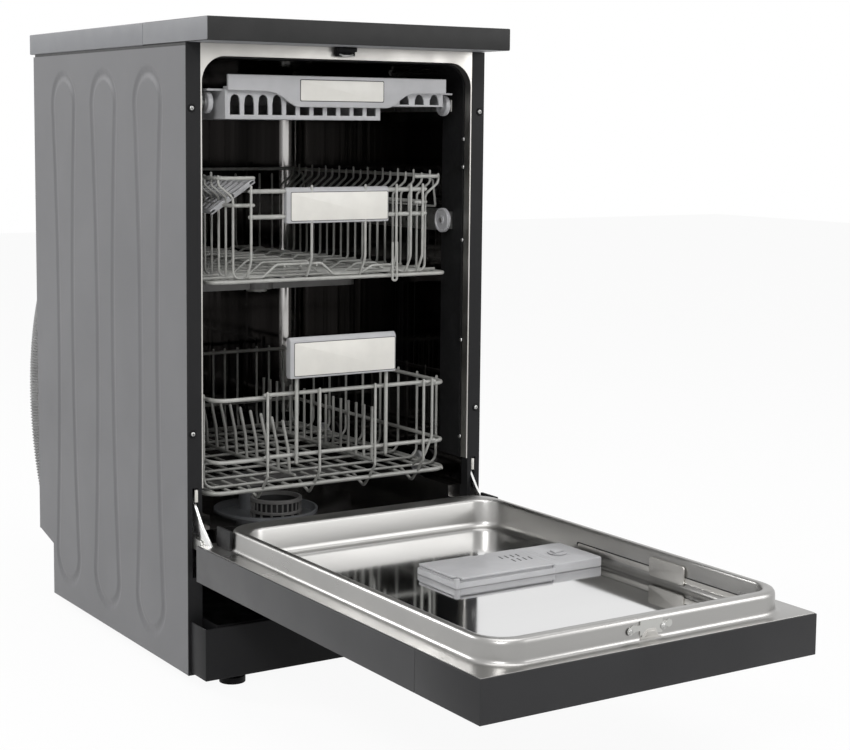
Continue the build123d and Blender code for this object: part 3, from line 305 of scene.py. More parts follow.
# %% Give each solid its finish
by_node = {part["node"]: part["material_slot"] for part in frame["record"]["subparts"]}
own_finish = {"tub_floor": floor_steel, "upper_spray_arm": filter_plastic, "lower_spray_arm": filter_plastic}
for name, solid in nodes.items():
    finish = own_finish.get(name, finishes[by_node[name]])
    for index in range(len(solid.material_slots)):
        solid.material_slots[index].material = finish
    if not solid.material_slots:
        solid.data.materials.append(finish)
print("dressed", len(nodes), "solids")

# %% [markdown]
# The floor is pale paper that takes the object's shadow. To the camera and to mirrors, and only to them, it also
# glows, so that it meets the white background without lighting the machine from below.

# %% The floor's own finish
FLOOR_GLOW = 0.94
floor_finish = make_finish("studio_paper", (238, 238, 238), 0.01, (0.7, 0.8), patch=2)
floor_tree = floor_finish.node_tree
paper = floor_tree.nodes["Principled BSDF"]
white = floor_tree.nodes.new("ShaderNodeEmission")
white.inputs["Color"].default_value = WHITE
floor_rays = floor_tree.nodes.new("ShaderNodeLightPath")
seen = larger(floor_tree, floor_rays.outputs["Is Camera Ray"], floor_rays.outputs["Is Glossy Ray"])
glow_share = floor_tree.nodes.new("ShaderNodeMath")
glow_share.operation = "MULTIPLY"
glow_share.inputs[1].default_value = FLOOR_GLOW
floor_tree.links.new(seen, glow_share.inputs[0])
mixed = floor_tree.nodes.new("ShaderNodeMixShader")
floor_tree.links.new(glow_share.outputs[0], mixed.inputs["Fac"])
floor_tree.links.new(paper.outputs[0], mixed.inputs[1])
floor_tree.links.new(white.outputs[0], mixed.inputs[2])
floor_tree.links.new(mixed.outputs[0], floor_tree.nodes["Material Output"].inputs["Surface"])
floor.data.materials.append(floor_finish)
print("share of the floor's glow:", FLOOR_GLOW)

# %% [markdown]
# Most new pieces are measured in millimetres from the cabinet's front plane, as a maker would, and set in the
# shared frame by one helper. A second helper turns a finished bmesh into a piece: it rounds the shading below a
# given angle, gives the finish, and lets the piece ride on its part of the machine.

# %% Helpers: place and piece
WELD = 0.000005  # metres within which two corners count as one


def at(x, y, z):
    """A point in metres from millimetres, with y from the cabinet's front plane."""
    return Vector((x / 1000, y / 1000 + FRONT, z / 1000))


def piece(mesh, name, finish, body, replaced=(), angle=35):
    """Makes a bmesh into an object that rides on a body and stands for the named solids."""
    bmesh.ops.remove_doubles(mesh, verts=mesh.verts, dist=WELD)
    bmesh.ops.recalc_face_normals(mesh, faces=mesh.faces)
    data = bpy.data.meshes.new(name)
    mesh.to_mesh(data)
    mesh.free()
    data.polygons.foreach_set("use_smooth", [True] * len(data.polygons))
    data.set_sharp_from_angle(angle=math.radians(angle))
    data.materials.append(finish)
    made = bpy.data.objects.new(name, data)
    bpy.context.scene.collection.objects.link(made)
    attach(made, body)
    if replaced:
        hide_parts(*replaced)
    return made


print("the point 0, 0, 845 lies at", [round(v, 3) for v in at(0, 0, 845)])

# %% [markdown]
# Plates and mouldings begin as an outline. Its corners are rounded first, it is then filled and extruded along one
# axis, and last every edge gets a small bevel, because a real edge is never sharp and the bevel catches the light.

# %% Helper: rounded outlines
def rounded(points, radius, steps=5):
    """An outline whose corners are arcs of the given radius."""
    out = []
    count = len(points)
    for index in range(count):
        before, corner, after = (Vector(points[i % count]) for i in (index - 1, index, index + 1))
        inward, outward = (before - corner).normalized(), (after - corner).normalized()
        angle = inward.angle(outward)
        reach = min(radius / math.tan(angle / 2), (before - corner).length / 2, (after - corner).length / 2)
        real_radius = reach * math.tan(angle / 2)
        centre = corner + (inward + outward).normalized() * (real_radius / math.sin(angle / 2))
        start, end = corner + inward * reach - centre, corner + outward * reach - centre
        sweep = start.angle_signed(end)
        for step in range(steps + 1):
            spoke = start.copy()
            spoke.rotate(Matrix.Rotation(-sweep * step / steps, 2))
            out.append(tuple(centre + spoke))
    return out


print("a rounded square has", len(rounded([(0, 0), (10, 0), (10, 10), (0, 10)], 2)), "points")

# %% Helpers: mouldings, rectangles and circles
def to_space(axis, u, v, w):
    """A point from outline coordinates: u and v in the outline's plane, w along the named axis."""
    return {"x": (w, u, v), "y": (u, w, v), "z": (u, v, w)}[axis]


def add_moulding(mesh, outline, axis, low, high, bevel=0.0, segments=2):
    """Extrudes an outline from low to high along an axis and bevels the edges round its two faces."""
    corners = [mesh.verts.new(at(*to_space(axis, u, v, low))) for u, v in outline]
    face = mesh.faces.new(corners)
    grown = bmesh.ops.extrude_face_region(mesh, geom=[face])
    moved = [g for g in grown["geom"] if isinstance(g, bmesh.types.BMVert)]
    step = at(*to_space(axis, 0, 0, high)) - at(*to_space(axis, 0, 0, low))
    bmesh.ops.translate(mesh, vec=step, verts=moved)
    if bevel:
        rims = [e for e in mesh.edges if all(v in corners for v in e.verts) or all(v in moved for v in e.verts)]
        bmesh.ops.bevel(mesh, geom=rims, offset=bevel / 1000, offset_type="OFFSET", affect="EDGES",
                        segments=segments, profile=0.5, material=-1, clamp_overlap=True)


def box_outline(left, right, bottom, top):
    """The four corners of a rectangle."""
    return [(left, bottom), (right, bottom), (right, top), (left, top)]


def circle_outline(u, v, radius, count, start=0.0):
    """Points round a circle."""
    return [(u + radius * math.cos(start + 2 * math.pi * i / count),
             v + radius * math.sin(start + 2 * math.pi * i / count)) for i in range(count)]


print("moulding helpers ready")

# %% [markdown]
# The racks are bent and welded wire. Each wire is a line of points whose corners are turned into arcs, and a curve
# with a round bevel gives it its thickness. The free tips narrow over the last millimetres, because the coating
# that the racks are dipped in leaves a round end.

# %% Helper: bent lines
STRAIGHT = math.radians(176)  # corners flatter than this stay as they are


def bend(points, radius, steps=5):
    """A line of points whose inner corners are arcs."""
    line = [Vector(p) for p in points]
    out = [line[0]]
    for before, corner, after in zip(line, line[1:], line[2:]):
        inward, outward = (before - corner).normalized(), (after - corner).normalized()
        angle = inward.angle(outward)
        if angle > STRAIGHT:
            out.append(corner)
            continue
        room = min((before - corner).length, (after - corner).length) / 2.05
        reach = min(radius / math.tan(angle / 2), room)
        real_radius = reach * math.tan(angle / 2)
        centre = corner + (inward + outward).normalized() * (reach / math.cos(angle / 2))
        start, end = corner + inward * reach - centre, corner + outward * reach - centre
        turning = start.angle(end)
        normal = start.cross(end).normalized()
        for step in range(steps + 1):
            spoke = start.copy()
            spoke.rotate(Matrix.Rotation(turning * step / steps, 3, normal))
            out.append(centre + spoke.normalized() * real_radius)
    out.append(line[-1])
    return out


print("one right bend has", len(bend([(0, 0, 0), (10, 0, 0), (10, 10, 0)], 3)), "points")

# %% Helper: wires of one piece
TIP = ((0, 0.35), (0.35, 0.8), (1, 1.0))  # how far from a wire's end, in radii, and the share of its thickness there


def wire_piece(wires, name, finish, body, replaced=()):
    """One mesh of many wires. Each wire is (radius, bend radius, points, closed)."""
    curve = bpy.data.curves.new(name, "CURVE")
    curve.dimensions = "3D"
    curve.bevel_depth = 0.001
    curve.bevel_resolution = 2
    curve.use_fill_caps = True
    for radius, corner, points, closed in wires:
        if closed:
            middle = tuple((a + b) / 2 for a, b in zip(points[0], points[-1]))
            points = [middle, *points, middle]
        path = [(p, 1.0) for p in bend(points, corner)]
        if closed:
            path = path[:-1]
        else:
            for end, near in ((0, 1), (-1, -2)):
                tip, inner = path[end][0], path[near][0]
                along = (inner - tip).normalized() * radius
                rounder = [(tip + along * far, share) for far, share in TIP]
                path = rounder + path[1:] if end == 0 else path[:-1] + rounder[::-1]
        spline = curve.splines.new("POLY")
        spline.points.add(len(path) - 1)
        for point, (spot, share) in zip(spline.points, path):
            point.co = (*at(*spot), 1)
            point.radius = radius * share
        spline.use_cyclic_u = closed
    source = bpy.data.objects.new(name + "_curve", curve)
    bpy.context.scene.collection.objects.link(source)
    bpy.context.view_layer.update()
    made = bpy.data.meshes.new_from_object(source.evaluated_get(bpy.context.evaluated_depsgraph_get()))
    bpy.data.objects.remove(source)
    mesh = bmesh.new()
    mesh.from_mesh(made)
    bpy.data.meshes.remove(made)
    return piece(mesh, name, finish, body, replaced, angle=60)


print("wire tips narrow to", TIP[0][1], "of the wire")

# %% [markdown]
# The lower rack has four tall front wires that run down, fold into a foot like a V and go on as the floor. Two
# thick rails cross them, and two more rails wrap round the sides and back. Cross wires turn up into the side walls.
# All of them go into one mesh, because they are welded together and move as one.

# %% Lower rack: front, floor and rear wall
RAIL, WIRE = 2.75, 1.9  # radii in mm
front_fold = [(4.6, 371), (4.6, 259), (19, 241), (33, 225.5), (66, 240)]  # y and z down the front and through the V
rear_rise = [(446, 240), (452, 262), (452, 368)]  # y and z where a floor wire turns up into the rear wall
lower_wires = [(RAIL, 8, [(-112, 9, z), (157, 9, z)], False) for z in (366, 284)]
for x in (-108, -30, 56, 134):
    lower_wires.append((WIRE, 6, [(x, y, z) for y, z in front_fold + rear_rise], False))
lower_wires.append((WIRE, 10, [(148, 5, 371), (148, 5, 290), (140, 12, 262), (140, 40, 246)], False))
for x in (-172, -150, -129, -86, -64, -8, 14, 36, 78, 112, 160, 176):
    lower_wires.append((WIRE, 8, [(x, y, z) for y, z in [(19, 240)] + rear_rise], False))
print("lower rack wires so far:", len(lower_wires))

# %% Lower rack: cross wires, rails, rim, tines and axles
for index in range(9):
    y = 44 + 49.5 * index
    lower_wires.append((WIRE, 14, [(-181, y, 368), (-181, y, 244), (181, y, 244), (181, y, 368)], False))
for z in (362, 281):
    lower_wires.append((RAIL, 20, [(-97, 14.6, z), (-178, 14.6, z), (-178, 448, z), (178, 448, z),
                                   (178, 14.6, z), (128, 14.6, z)], False))
lower_wires.append((3.0, 22, [(-184.5, 20.2, 240), (184.5, 20.2, 240), (184.5, 454, 240), (-184.5, 454, 240)], True))
for index in range(13):
    y = 60 + 31 * index
    lower_wires.append((2.3, 5, [(-45, y, 248), (-47, y, 280), (-56, y, 322)], False))
lower_wires.append((2.5, 5, [(-45, 44, 247.9), (-45, 440, 247.9)], False))
for side in (-1, 1):
    for y in (109, 380):
        lower_wires.append((2.4, 3, [(side * 180, y, 232.3), (side * 190.5, y, 232.3)], False))
lower_rack = wire_piece(lower_wires, "lower_basket_wires", finishes["wire_grey"], "lower_rack",
                        ("lower_rack_base", "lower_rack_walls"))
print("lower rack triangles:", sum(len(p.vertices) - 2 for p in lower_rack.data.polygons))

# %% [markdown]
# The upper rack stands on its side rails, so its walls step in below them: each side wire drops a little, jogs
# inwards and falls to the floor. The floor itself is waved, and the front rails stop short of the corners on both
# sides of the handle. It is bent wire too, so the same helper makes it.

# %% Upper rack: front rails, waved floor and stepped sides
upper_wires = []
for z in (630, 597):
    upper_wires.append((3.0, 6, [(-131, 14.5, z), (-74, 14.5, z)], False))
    upper_wires.append((3.0, 6, [(74, 14.5, z), (142, 14.5, z)], False))
wave = [(-147, 518), (-104, 518), (-84, 534), (-16, 534), (2, 518), (44, 518), (62, 528), (92, 528),
        (108, 518), (147, 518)]  # x and z of the floor
for index in range(11):
    y = 26 + 41 * index
    upper_wires.append((1.8, 9, [(-168, y, 651), (-168, y, 638), (-147, y, 622)]
                        + [(x, y, z) for x, z in wave] + [(147, y, 622), (168, y, 638), (168, y, 651)], False))
    if index < 10:
        half = y + 20.5
        for side in (-1, 1):
            upper_wires.append((1.6, 6, [(side * 168, half, 655), (side * 168, half, 638),
                                         (side * 147, half, 622), (side * 147, half, 520)], False))
print("upper rack wires so far:", len(upper_wires))

# %% Upper rack: long wires, rails and rim
for x, z in ((-140, 515), (-118, 515), (-72, 531), (-48, 531), (-24, 531), (10, 515), (34, 515), (76, 525),
             (118, 515), (140, 515)):
    upper_wires.append((1.8, 8, [(x, 24, z), (x, 450, z), (x, 453, z + 14), (x, 453, 640)], False))
for x in (-129, -40, 42, 91, 114, 133):
    upper_wires.append((1.8, 16, [(x, 10.5, 638), (x, 10.5, 540), (x, 26, 513), (x, 60, 513)], False))
upper_wires.append((1.6, 3, [(87, 13, 560), (87, 13, 507.5), (94, 13, 507.5), (94, 13, 560)], False))
for z, reach in ((647, 171), (612, 150)):
    upper_wires.append((2.5, 14, [(-118, 21, z), (-reach, 21, z), (-reach, 450, z), (reach, 450, z), (reach, 21, z),
                                  (126, 21, z)], False))
upper_wires.append((2.4, 14, [(-150, 24, 513.5), (150, 24, 513.5), (150, 450, 513.5), (-150, 450, 513.5)], True))
for side in (-1, 1):
    upper_wires.append((1.6, 4, [(side * 171, 60, 646), (side * 182, 60, 640), (side * 187, 60, 604),
                                 (side * 187, 430, 604), (side * 182, 430, 640), (side * 171, 430, 646)], False))
upper_walls = wire_piece(upper_wires, "upper_basket_wires", finishes["wire_grey"], "upper_rack",
                         ("upper_rack_walls",))
print("upper rack triangles:", sum(len(p.vertices) - 2 for p in upper_walls.data.polygons))

# %% [markdown]
# A pressed steel pan closes the mouth when the door is up. Sheet metal that is drawn over a punch has no sharp
# edge, so it is a stack of rounded rectangles, from the flat flange over the rim and down to the floor of the well,
# and back along the hidden side. The bridge operator joined some of these loops across the well, so each band of
# faces is made directly between two rings with the same number of corners.

# %% Rings and bands
def ring(mesh, half, near, far, z, corner, steps=9):
    """The corners of a rounded rectangle in mm at one height, in order."""
    outline = rounded([(-half, far), (half, far), (half, near), (-half, near)], corner, steps)
    return [mesh.verts.new(at(x, y, z)) for x, y in outline]


def stack(mesh, rings):
    """Joins each ring to the next by a band of faces, and closes the first and last rings."""
    loops = [ring(mesh, *r) for r in rings]
    for first, second in zip(loops, loops[1:]):
        for a, b, c, d in zip(first, first[1:] + first[:1], second[1:] + second[:1], second):
            mesh.faces.new((a, b, c, d))
    mesh.faces.new(loops[0])
    mesh.faces.new(loops[-1])


print("ring and band helpers ready")

# %% Door pan
SHEET = 0.8  # mm
pan_rings = [  # half width, near edge, far edge, height and corner radius
    (223.6, -25.4, -641.8, 188.1, 2.0), (223.8, -25.2, -642.0, 188.6, 2.0), (223.6, -25.4, -641.8, 189.0, 2.0),
    (207.0, -43.0, -633.5, 189.0, 44), (203.6, -43.2, -630.8, 189.9, 43), (201.6, -43.4, -629.0, 191.6, 41.6),
    (200.6, -43.7, -628.4, 193.2, 41), (200.0, -44.0, -628.0, 195.0, 40), (199.7, -44.3, -627.8, 209.0, 40),
    (199.0, -45.0, -627.2, 211.8, 39.4), (197.4, -46.6, -625.8, 213.9, 38), (195.4, -48.8, -624.0, 214.8, 36.6),
    (193.6, -60.0, -621.0, 215.0, 35), (191.4, -74.0, -615.2, 214.6, 33), (190.0, -76.8, -613.0, 213.4, 31.4),
    (189.2, -78.0, -612.0, 211.2, 30.6), (188.6, -78.8, -611.2, 186.0, 30), (187.4, -80.2, -610.0, 181.6, 29),
    (185.0, -82.6, -607.8, 179.0, 27), (181.6, -86.0, -604.4, 178.0, 24),
    (180.4, -87.2, -603.2, 178.0, 22.8), (178.0, -89.6, -600.8, 178.0, 20.4),
]
print("the well is", max(r[3] for r in pan_rings) - pan_rings[-1][3], "mm deep below its rim")


def underside(rings):
    """The same rings moved by the sheet's thickness to the hidden side of the pan."""
    out = []
    for index, (half, near, far, z, corner) in enumerate(rings):
        before, after = rings[max(index - 1, 0)], rings[min(index + 1, len(rings) - 1)]
        along = Vector((after[0] - before[0], after[3] - before[3])).normalized()
        aside = SHEET * -along.y
        out.append((half + aside, near + aside, far - aside, z + SHEET * along.x, max(corner + aside, 0.6)))
    return out


pan = bmesh.new()
stack(pan, underside(pan_rings[2:])[::-1] + pan_rings)
pan_piece = piece(pan, "pressed_pan", finishes["liner_steel"], "door", ("door_liner",), angle=50)
# The pan's floor is painted much lighter than the rest of the same sheet: a painted reflection.
mirror_finish = make_finish("pan_floor_painted_reflection", (218, 218, 218), 0.02, (0.04, 0.10), 1.0, patch=5,
                            streak=(0.15, 1, 1), grain=260, height=0.000002)
pan_piece.data.materials.append(mirror_finish)
pan_floor_z = pan_rings[-1][3] / 1000
for polygon in pan_piece.data.polygons:
    if polygon.normal.z > 0.99 and abs(polygon.center.z - pan_floor_z) < 0.0005:
        polygon.material_index = 1
        polygon.use_smooth = False
print("pan faces:", len(pan_piece.data.polygons))

# %% [markdown]
# A small plate on the rim of the pan meets the latch, and a long slot with a bright clip is cut in the right wall.
# Cutting holes in the pan would disturb its smooth bands, so a thin near black shape laid on the wall stands for the
# slot, as painted shade for the opening.

# %% Latch plate, and the slot in the pan's right wall
pan_plate, pan_slot = bmesh.new(), bmesh.new()
plate_outline = [(-16.5, 190.2), (-14.5, 193), (-6.5, 201.8), (5.5, 201.8), (10, 193.2), (20.5, 190.2)]
add_moulding(pan_plate, plate_outline, "y", -629.6, -627.6, 0.35)
add_moulding(pan_plate, rounded([(-9, 194), (-5, 199.6), (4, 199.6), (7, 194)], 0.8, 3), "y", -630.2, -629.2, 0.3)
piece(pan_plate, "latch_plate", finishes["flange_steel"], "door", angle=30)
# The slot is painted shade: a thin near black shape on the wall.
slot_line = rounded([(-574, 188.2), (-574, 194.4), (-268, 194.4), (-268, 188.2)], 2.2, 4)
add_moulding(pan_slot, slot_line, "x", 188.2, 188.75)
piece(pan_slot, "wall_slot", shadow, "door")
slot_bar = bmesh.new()
add_moulding(slot_bar, rounded(box_outline(-571, -271, 186.4, 193.2), 2.4, 4), "x", 187.2, 188.3, 0.4)
clip_line = rounded([(-471, 183.6), (-471, 206.5), (-409, 206.5), (-409, 183.6)], 4, 4)
add_moulding(slot_bar, clip_line, "x", 185.4, 188.5, 0.9, 3)
piece(slot_bar, "slot_clip", finishes["flange_steel"], "door", angle=30)
print("latch plate and slot made")

# %% [markdown]
# The dispenser is two mouldings: a long body let into the floor of the pan, and the lid of the detergent cup on its
# left, which turns at its rear edge. A gap runs under the lid, a rounded catch stands at its front corner, and two rows
# of short slots lie near its right end. Marks this small are laid on as thin shapes, which stay clean where a cut would
# leave slivers, and the slots among them are near black shapes of painted shade for their openings.

# %% Dispenser body
LID_RIGHT, BODY_RIGHT, FRONT_SIDE, REAR_SIDE = 103, 178, -332, -245
PAN_FLOOR, BODY_TOP = 178.05, 190.0
dispenser = bmesh.new()
low_part = rounded(box_outline(-39.4, BODY_RIGHT, FRONT_SIDE + 0.6, REAR_SIDE), 5)
add_moulding(dispenser, low_part, "z", PAN_FLOOR, 185.4, 0.8)
high_part = rounded(box_outline(LID_RIGHT + 0.6, BODY_RIGHT, FRONT_SIDE, REAR_SIDE), 4)
add_moulding(dispenser, high_part, "z", PAN_FLOOR, BODY_TOP, 1.6, 3)
add_moulding(dispenser, rounded(box_outline(-37, 104, FRONT_SIDE + 3, REAR_SIDE - 2), 3), "z", 184, 187.6, 0.2)
catch = rounded(box_outline(-40, -33.2, FRONT_SIDE, FRONT_SIDE + 7), 3.2, 6)
add_moulding(dispenser, catch, "z", PAN_FLOOR, BODY_TOP, 1.2, 3)
add_moulding(dispenser, box_outline(-36, 174, FRONT_SIDE + 4.1, REAR_SIDE - 4.1), "z", 152.1, 178.1, 0.8)
print("dispenser is", BODY_TOP - PAN_FLOOR, "mm high above the pan's floor")

# %% Marks round the dial, and the finished body
DIAL_X, DIAL_Y, MARK_RADIUS, MARK_WIDTH, MARK_SWEEP = 140, -290, 15.6, 1.1, 50
for first in (20, 110, 200, 290):
    arc = [math.radians(first + MARK_SWEEP * i / 8) for i in range(9)]
    outline = [(DIAL_X + r * math.cos(a), DIAL_Y + r * math.sin(a))
               for r, line in ((MARK_RADIUS, arc), (MARK_RADIUS - MARK_WIDTH, arc[::-1])) for a in line]
    add_moulding(dispenser, outline, "z", 189.6, 190.25, 0.15)
for x in (112, 118):
    add_moulding(dispenser, rounded(box_outline(x, x + 1.2, -318, -262), 0.5, 3), "z", 189.6, 190.2, 0.15)
piece(dispenser, "dispenser_body", finishes["rack_plastic"], "door", ("dispenser",), angle=40)
print("marks round the dial at", MARK_RADIUS, "mm")

# %% Lid of the detergent cup, with its slots
lid = bmesh.new()
lid_outline = rounded([(-37.8, -321), (-32.4, -321), (-31.6, -331.7), (LID_RIGHT, -331.7), (LID_RIGHT, -248),
                       (58, -248), (58, -251.4), (40, -251.4), (40, -248), (-37.8, -248)], 1.6, 4)
add_moulding(lid, lid_outline, "z", 188.35, 190.95, 0.9, 3)
piece(lid, "cup_lid", finishes["rack_plastic"], "cup_lid", ("detergent_lid",), angle=40)
# The slots are painted shade: thin near black shapes laid on the lid.
slots = bmesh.new()
for row, aside in ((-276, 0), (-294, 6)):
    for index in range(4):
        x = 62 + index * 8.4 + aside
        slot_outline = [(x, row - 6), (x + 2.2, row - 6), (x + 4.2, row + 6), (x + 2.0, row + 6)]
        add_moulding(slots, slot_outline, "z", 190.6, 190.99)
piece(slots, "cup_lid_slots", shadow, "cup_lid")
print("lid and slots made")

# %% Dial of the rinse aid
dial = bmesh.new()
add_moulding(dial, circle_outline(DIAL_X, DIAL_Y, 12, 40), "z", 190.35, 191.6, 0.5)
grip = rounded([(131.5, -296.5), (149.5, -291.5), (147.0, -284.0), (133.0, -283.5)], 1.4, 4)
add_moulding(dial, grip, "z", 191.2, 193.9, 0.9, 3)
piece(dial, "rinse_dial_cap", finishes["rack_plastic"], "dial", ("rinse_dial",), angle=40)
print("dial made")

# %% [markdown]
# Both racks are pulled by a moulded grip with a pale plate let into its face. The grip's top edge is rounded and leans
# back, so the grey shows as a band above the plate, and a fine groove runs round the plate, drawn as a thin near black
# band of painted shade. The side view has all of the grip's form, so it is drawn from the side and extruded across.

# %% Rack grips and their plates
def rack_grip(name, half_width, front_y, back_y, low, high, plate, body, replaced):
    """A grip whose section is drawn from the side and extruded across, with a near black line of painted shade round
    its plate for the groove.
    """
    mesh = bmesh.new()
    depth = back_y - front_y
    section = rounded([(front_y, low), (back_y - 2, low), (back_y, low + 4), (back_y, high - 2),
                       (front_y + depth * 0.35, high), (front_y, high - 4.5)], 1.6, 4)
    add_moulding(mesh, section, "x", -half_width, half_width, 1.6, 3)
    piece(mesh, name, finishes["rack_plastic"], body, (replaced[0],), angle=40)
    left, right, bottom, top = plate
    # The groove round the plate is painted shade: a near black band under the plate's edge.
    seat = bmesh.new()
    add_moulding(seat, rounded(box_outline(left - 0.8, right + 0.8, bottom - 0.8, top + 0.8), 2, 4), "y",
                 front_y - 0.12, front_y + 1)
    piece(seat, name + "_groove", shadow, body)
    face = bmesh.new()
    add_moulding(face, rounded(box_outline(left, right, bottom, top), 1.6, 4), "y", front_y - 0.5, front_y + 0.6, 0.4)
    piece(face, name + "_plate", finishes["insert_light"], body, (replaced[1],), angle=40)


rack_grip("lower_grip", 81, -6.9, 5, 387, 441, (-74.5, 79, 390.4, 433.4), "lower_rack",
          ("lower_rack_handle", "lower_handle_insert"))
legs = [(2.6, 4, [(x, 3.4, 392), (x, 3.4, 272)], False) for x in (-66, 72)]
wire_piece(legs, "lower_grip_legs", finishes["wire_grey"], "lower_rack")
rack_grip("upper_grip", 78, 9.1, 18.4, 588, 635, (-71, 76, 591.4, 628), "upper_rack",
          ("upper_rack_handle", "upper_handle_insert"))
print("grips made")

# %% [markdown]
# The cutlery tray's fascia sweeps down in the middle to hold its plate and up at both ends, where the tray's
# arches show below it. Seen from the front it is one outline, so it is drawn there and extruded a few millimetres.

# %% Tray fascia and plate
fascia = bmesh.new()
sweep = [(-165, 778), (165, 778), (165, 758.5)]
sweep += [(112, 757.6), (102, 755), (92, 749), (84, 743), (76, 739), (70, 738.1)]
sweep += [(-62, 738.1), (-68, 739), (-76, 743), (-86, 750), (-96, 755), (-108, 757.4), (-165, 758.2)]
add_moulding(fascia, sweep, "y", 3.6, 8.0, 1.2, 3)
add_moulding(fascia, box_outline(-165, 165, 760.3, 763), "y", 7, 18, 0.4)
piece(fascia, "tray_front", finishes["rack_plastic"], "tray", ("tray_fascia",), angle=40)
# The groove round the tray's plate is painted shade: a near black band under the plate's edge.
tray_seat = bmesh.new()
add_moulding(tray_seat, rounded(box_outline(-61.6, 65.6, 745.4, 773.6), 2, 4), "y", 3.45, 4.5)
piece(tray_seat, "tray_plate_groove", shadow, "tray")
tray_plate = bmesh.new()
add_moulding(tray_plate, rounded(box_outline(-60.6, 64.6, 746.4, 772.6), 1.6, 4), "y", 3.05, 4.6, 0.4)
piece(tray_plate, "tray_plate", finishes["insert_light"], "tray", ("tray_insert",), angle=40)
print("tray front made")

# %% [markdown]
# The folding shelf is a comb of slats on two levels that hooks on the side of the rack. Its bars and slats are drawn
# flat, where they are easy to measure, and the whole comb is then turned up about its axle.

# %% Folding shelf
AXLE_X, AXLE_Z, SHELF_NEAR, SHELF_FAR = -171.0, 600.0, 46.0, 254.0
SHELF_TILT = math.radians(33)
comb = bmesh.new()


def add_slat(start, end, near, far, low, high, bevel):
    """One bar of the comb, measured outwards and upwards from the axle."""
    add_moulding(comb, box_outline(AXLE_X + start, AXLE_X + end, near, far), "z", AXLE_Z + low, AXLE_Z + high, bevel)


for start, high in ((3, 2.5), (36, 4.0), (70, 2.5)):
    add_slat(start, start + 7, SHELF_NEAR, SHELF_FAR, -1.5, high, 0.8)
for index in range(14):
    y = SHELF_NEAR + 1.5 + index * 15.6
    add_slat(4, 39, y, y + 5, -1.5, 1.5, 0.5)
    add_slat(40, 80, y, y + 5, -0.5, 3.5, 0.5)
for y in (SHELF_NEAR, SHELF_FAR - 4):
    add_slat(3, 78, y, y + 4, -3, 4, 0.8)
bmesh.ops.rotate(comb, cent=at(AXLE_X, 0, AXLE_Z), matrix=Matrix.Rotation(-SHELF_TILT, 3, "Y"), verts=comb.verts)
piece(comb, "cup_comb", finishes["rack_plastic"], "shelf", ("cup_shelf",), angle=40)
print("shelf made")

# %% [markdown]
# Each side of the cabinet is one sheet of painted steel with three long loops pressed into it, which stiffen it.
# Bump in the material would shade them but leave the sheet flat, so a fine grid is pushed in along the loops, and the
# light rolls over the groove as it does on the real sheet. A tree of points finds how far each corner of the grid
# lies from the loops.

# %% The loops' middle lines
def arc_through(a, b, c, count=60):
    """Points on the circle through three points, from the first to the last."""
    (ax, ay), (bx, by), (cx, cy) = a, b, c
    d = 2 * (ax * (by - cy) + bx * (cy - ay) + cx * (ay - by))
    ux = ((ax**2 + ay**2) * (by - cy) + (bx**2 + by**2) * (cy - ay) + (cx**2 + cy**2) * (ay - by)) / d
    uy = ((ax**2 + ay**2) * (cx - bx) + (bx**2 + by**2) * (ax - cx) + (cx**2 + cy**2) * (bx - ax)) / d
    radius = math.hypot(ax - ux, ay - uy)
    first, middle, last = (math.atan2(y - uy, x - ux) for x, y in (a, b, c))
    turn_total = (last - first) % (2 * math.pi)
    if (middle - first) % (2 * math.pi) > turn_total:
        turn_total -= 2 * math.pi
    angles = [first + turn_total * i / count for i in range(count)]
    return [(ux + radius * math.cos(a), uy + radius * math.sin(a)) for a in angles]


LOOP_HALF, LOOP_WAIST, HALF_GROOVE = 45, 31, 4.5  # mm, the first two to the groove's outer edge
LOOP_TOP, LOOP_BOTTOM, SHOULDER, HIP, WAIST_Z = 786, 41, 738, 95, 420


def loop_points(place):
    """The middle line of one pressed loop, in y and z."""
    half, waist = LOOP_HALF - HALF_GROOVE, LOOP_WAIST - HALF_GROOVE
    top_left, top_right = (place - half, SHOULDER), (place + half, SHOULDER)
    low_left, low_right = (place - half, HIP), (place + half, HIP)
    points = arc_through(top_left, (place, LOOP_TOP - HALF_GROOVE), top_right)
    points += arc_through(top_right, (place + waist, WAIST_Z), low_right, 300)
    points += arc_through(low_right, (place, LOOP_BOTTOM + HALF_GROOVE), low_left)
    points += arc_through(low_left, (place - waist, WAIST_Z), top_left, 300)
    return points


groove_line = [point for place in (404, 260, 115) for point in loop_points(place)]
groove_tree = KDTree(len(groove_line))
for index, (y, z) in enumerate(groove_line):
    groove_tree.insert((y, z, 0), index)
groove_tree.balance()
print("points along the loops:", len(groove_line))

# %% Side sheets
GROOVE_REACH, GROOVE_WALL, GROOVE_DEPTH = 6.6, 3.6, 1.75  # mm from the middle line, across one wall, and deep
SHEET_X, SHEET_THICKNESS = 224.95, 0.0019  # mm, and metres
FOOT_STEP = ((464, 89), (515, 102))  # y and z of the sheet's lower edge where it steps up over the rear foot


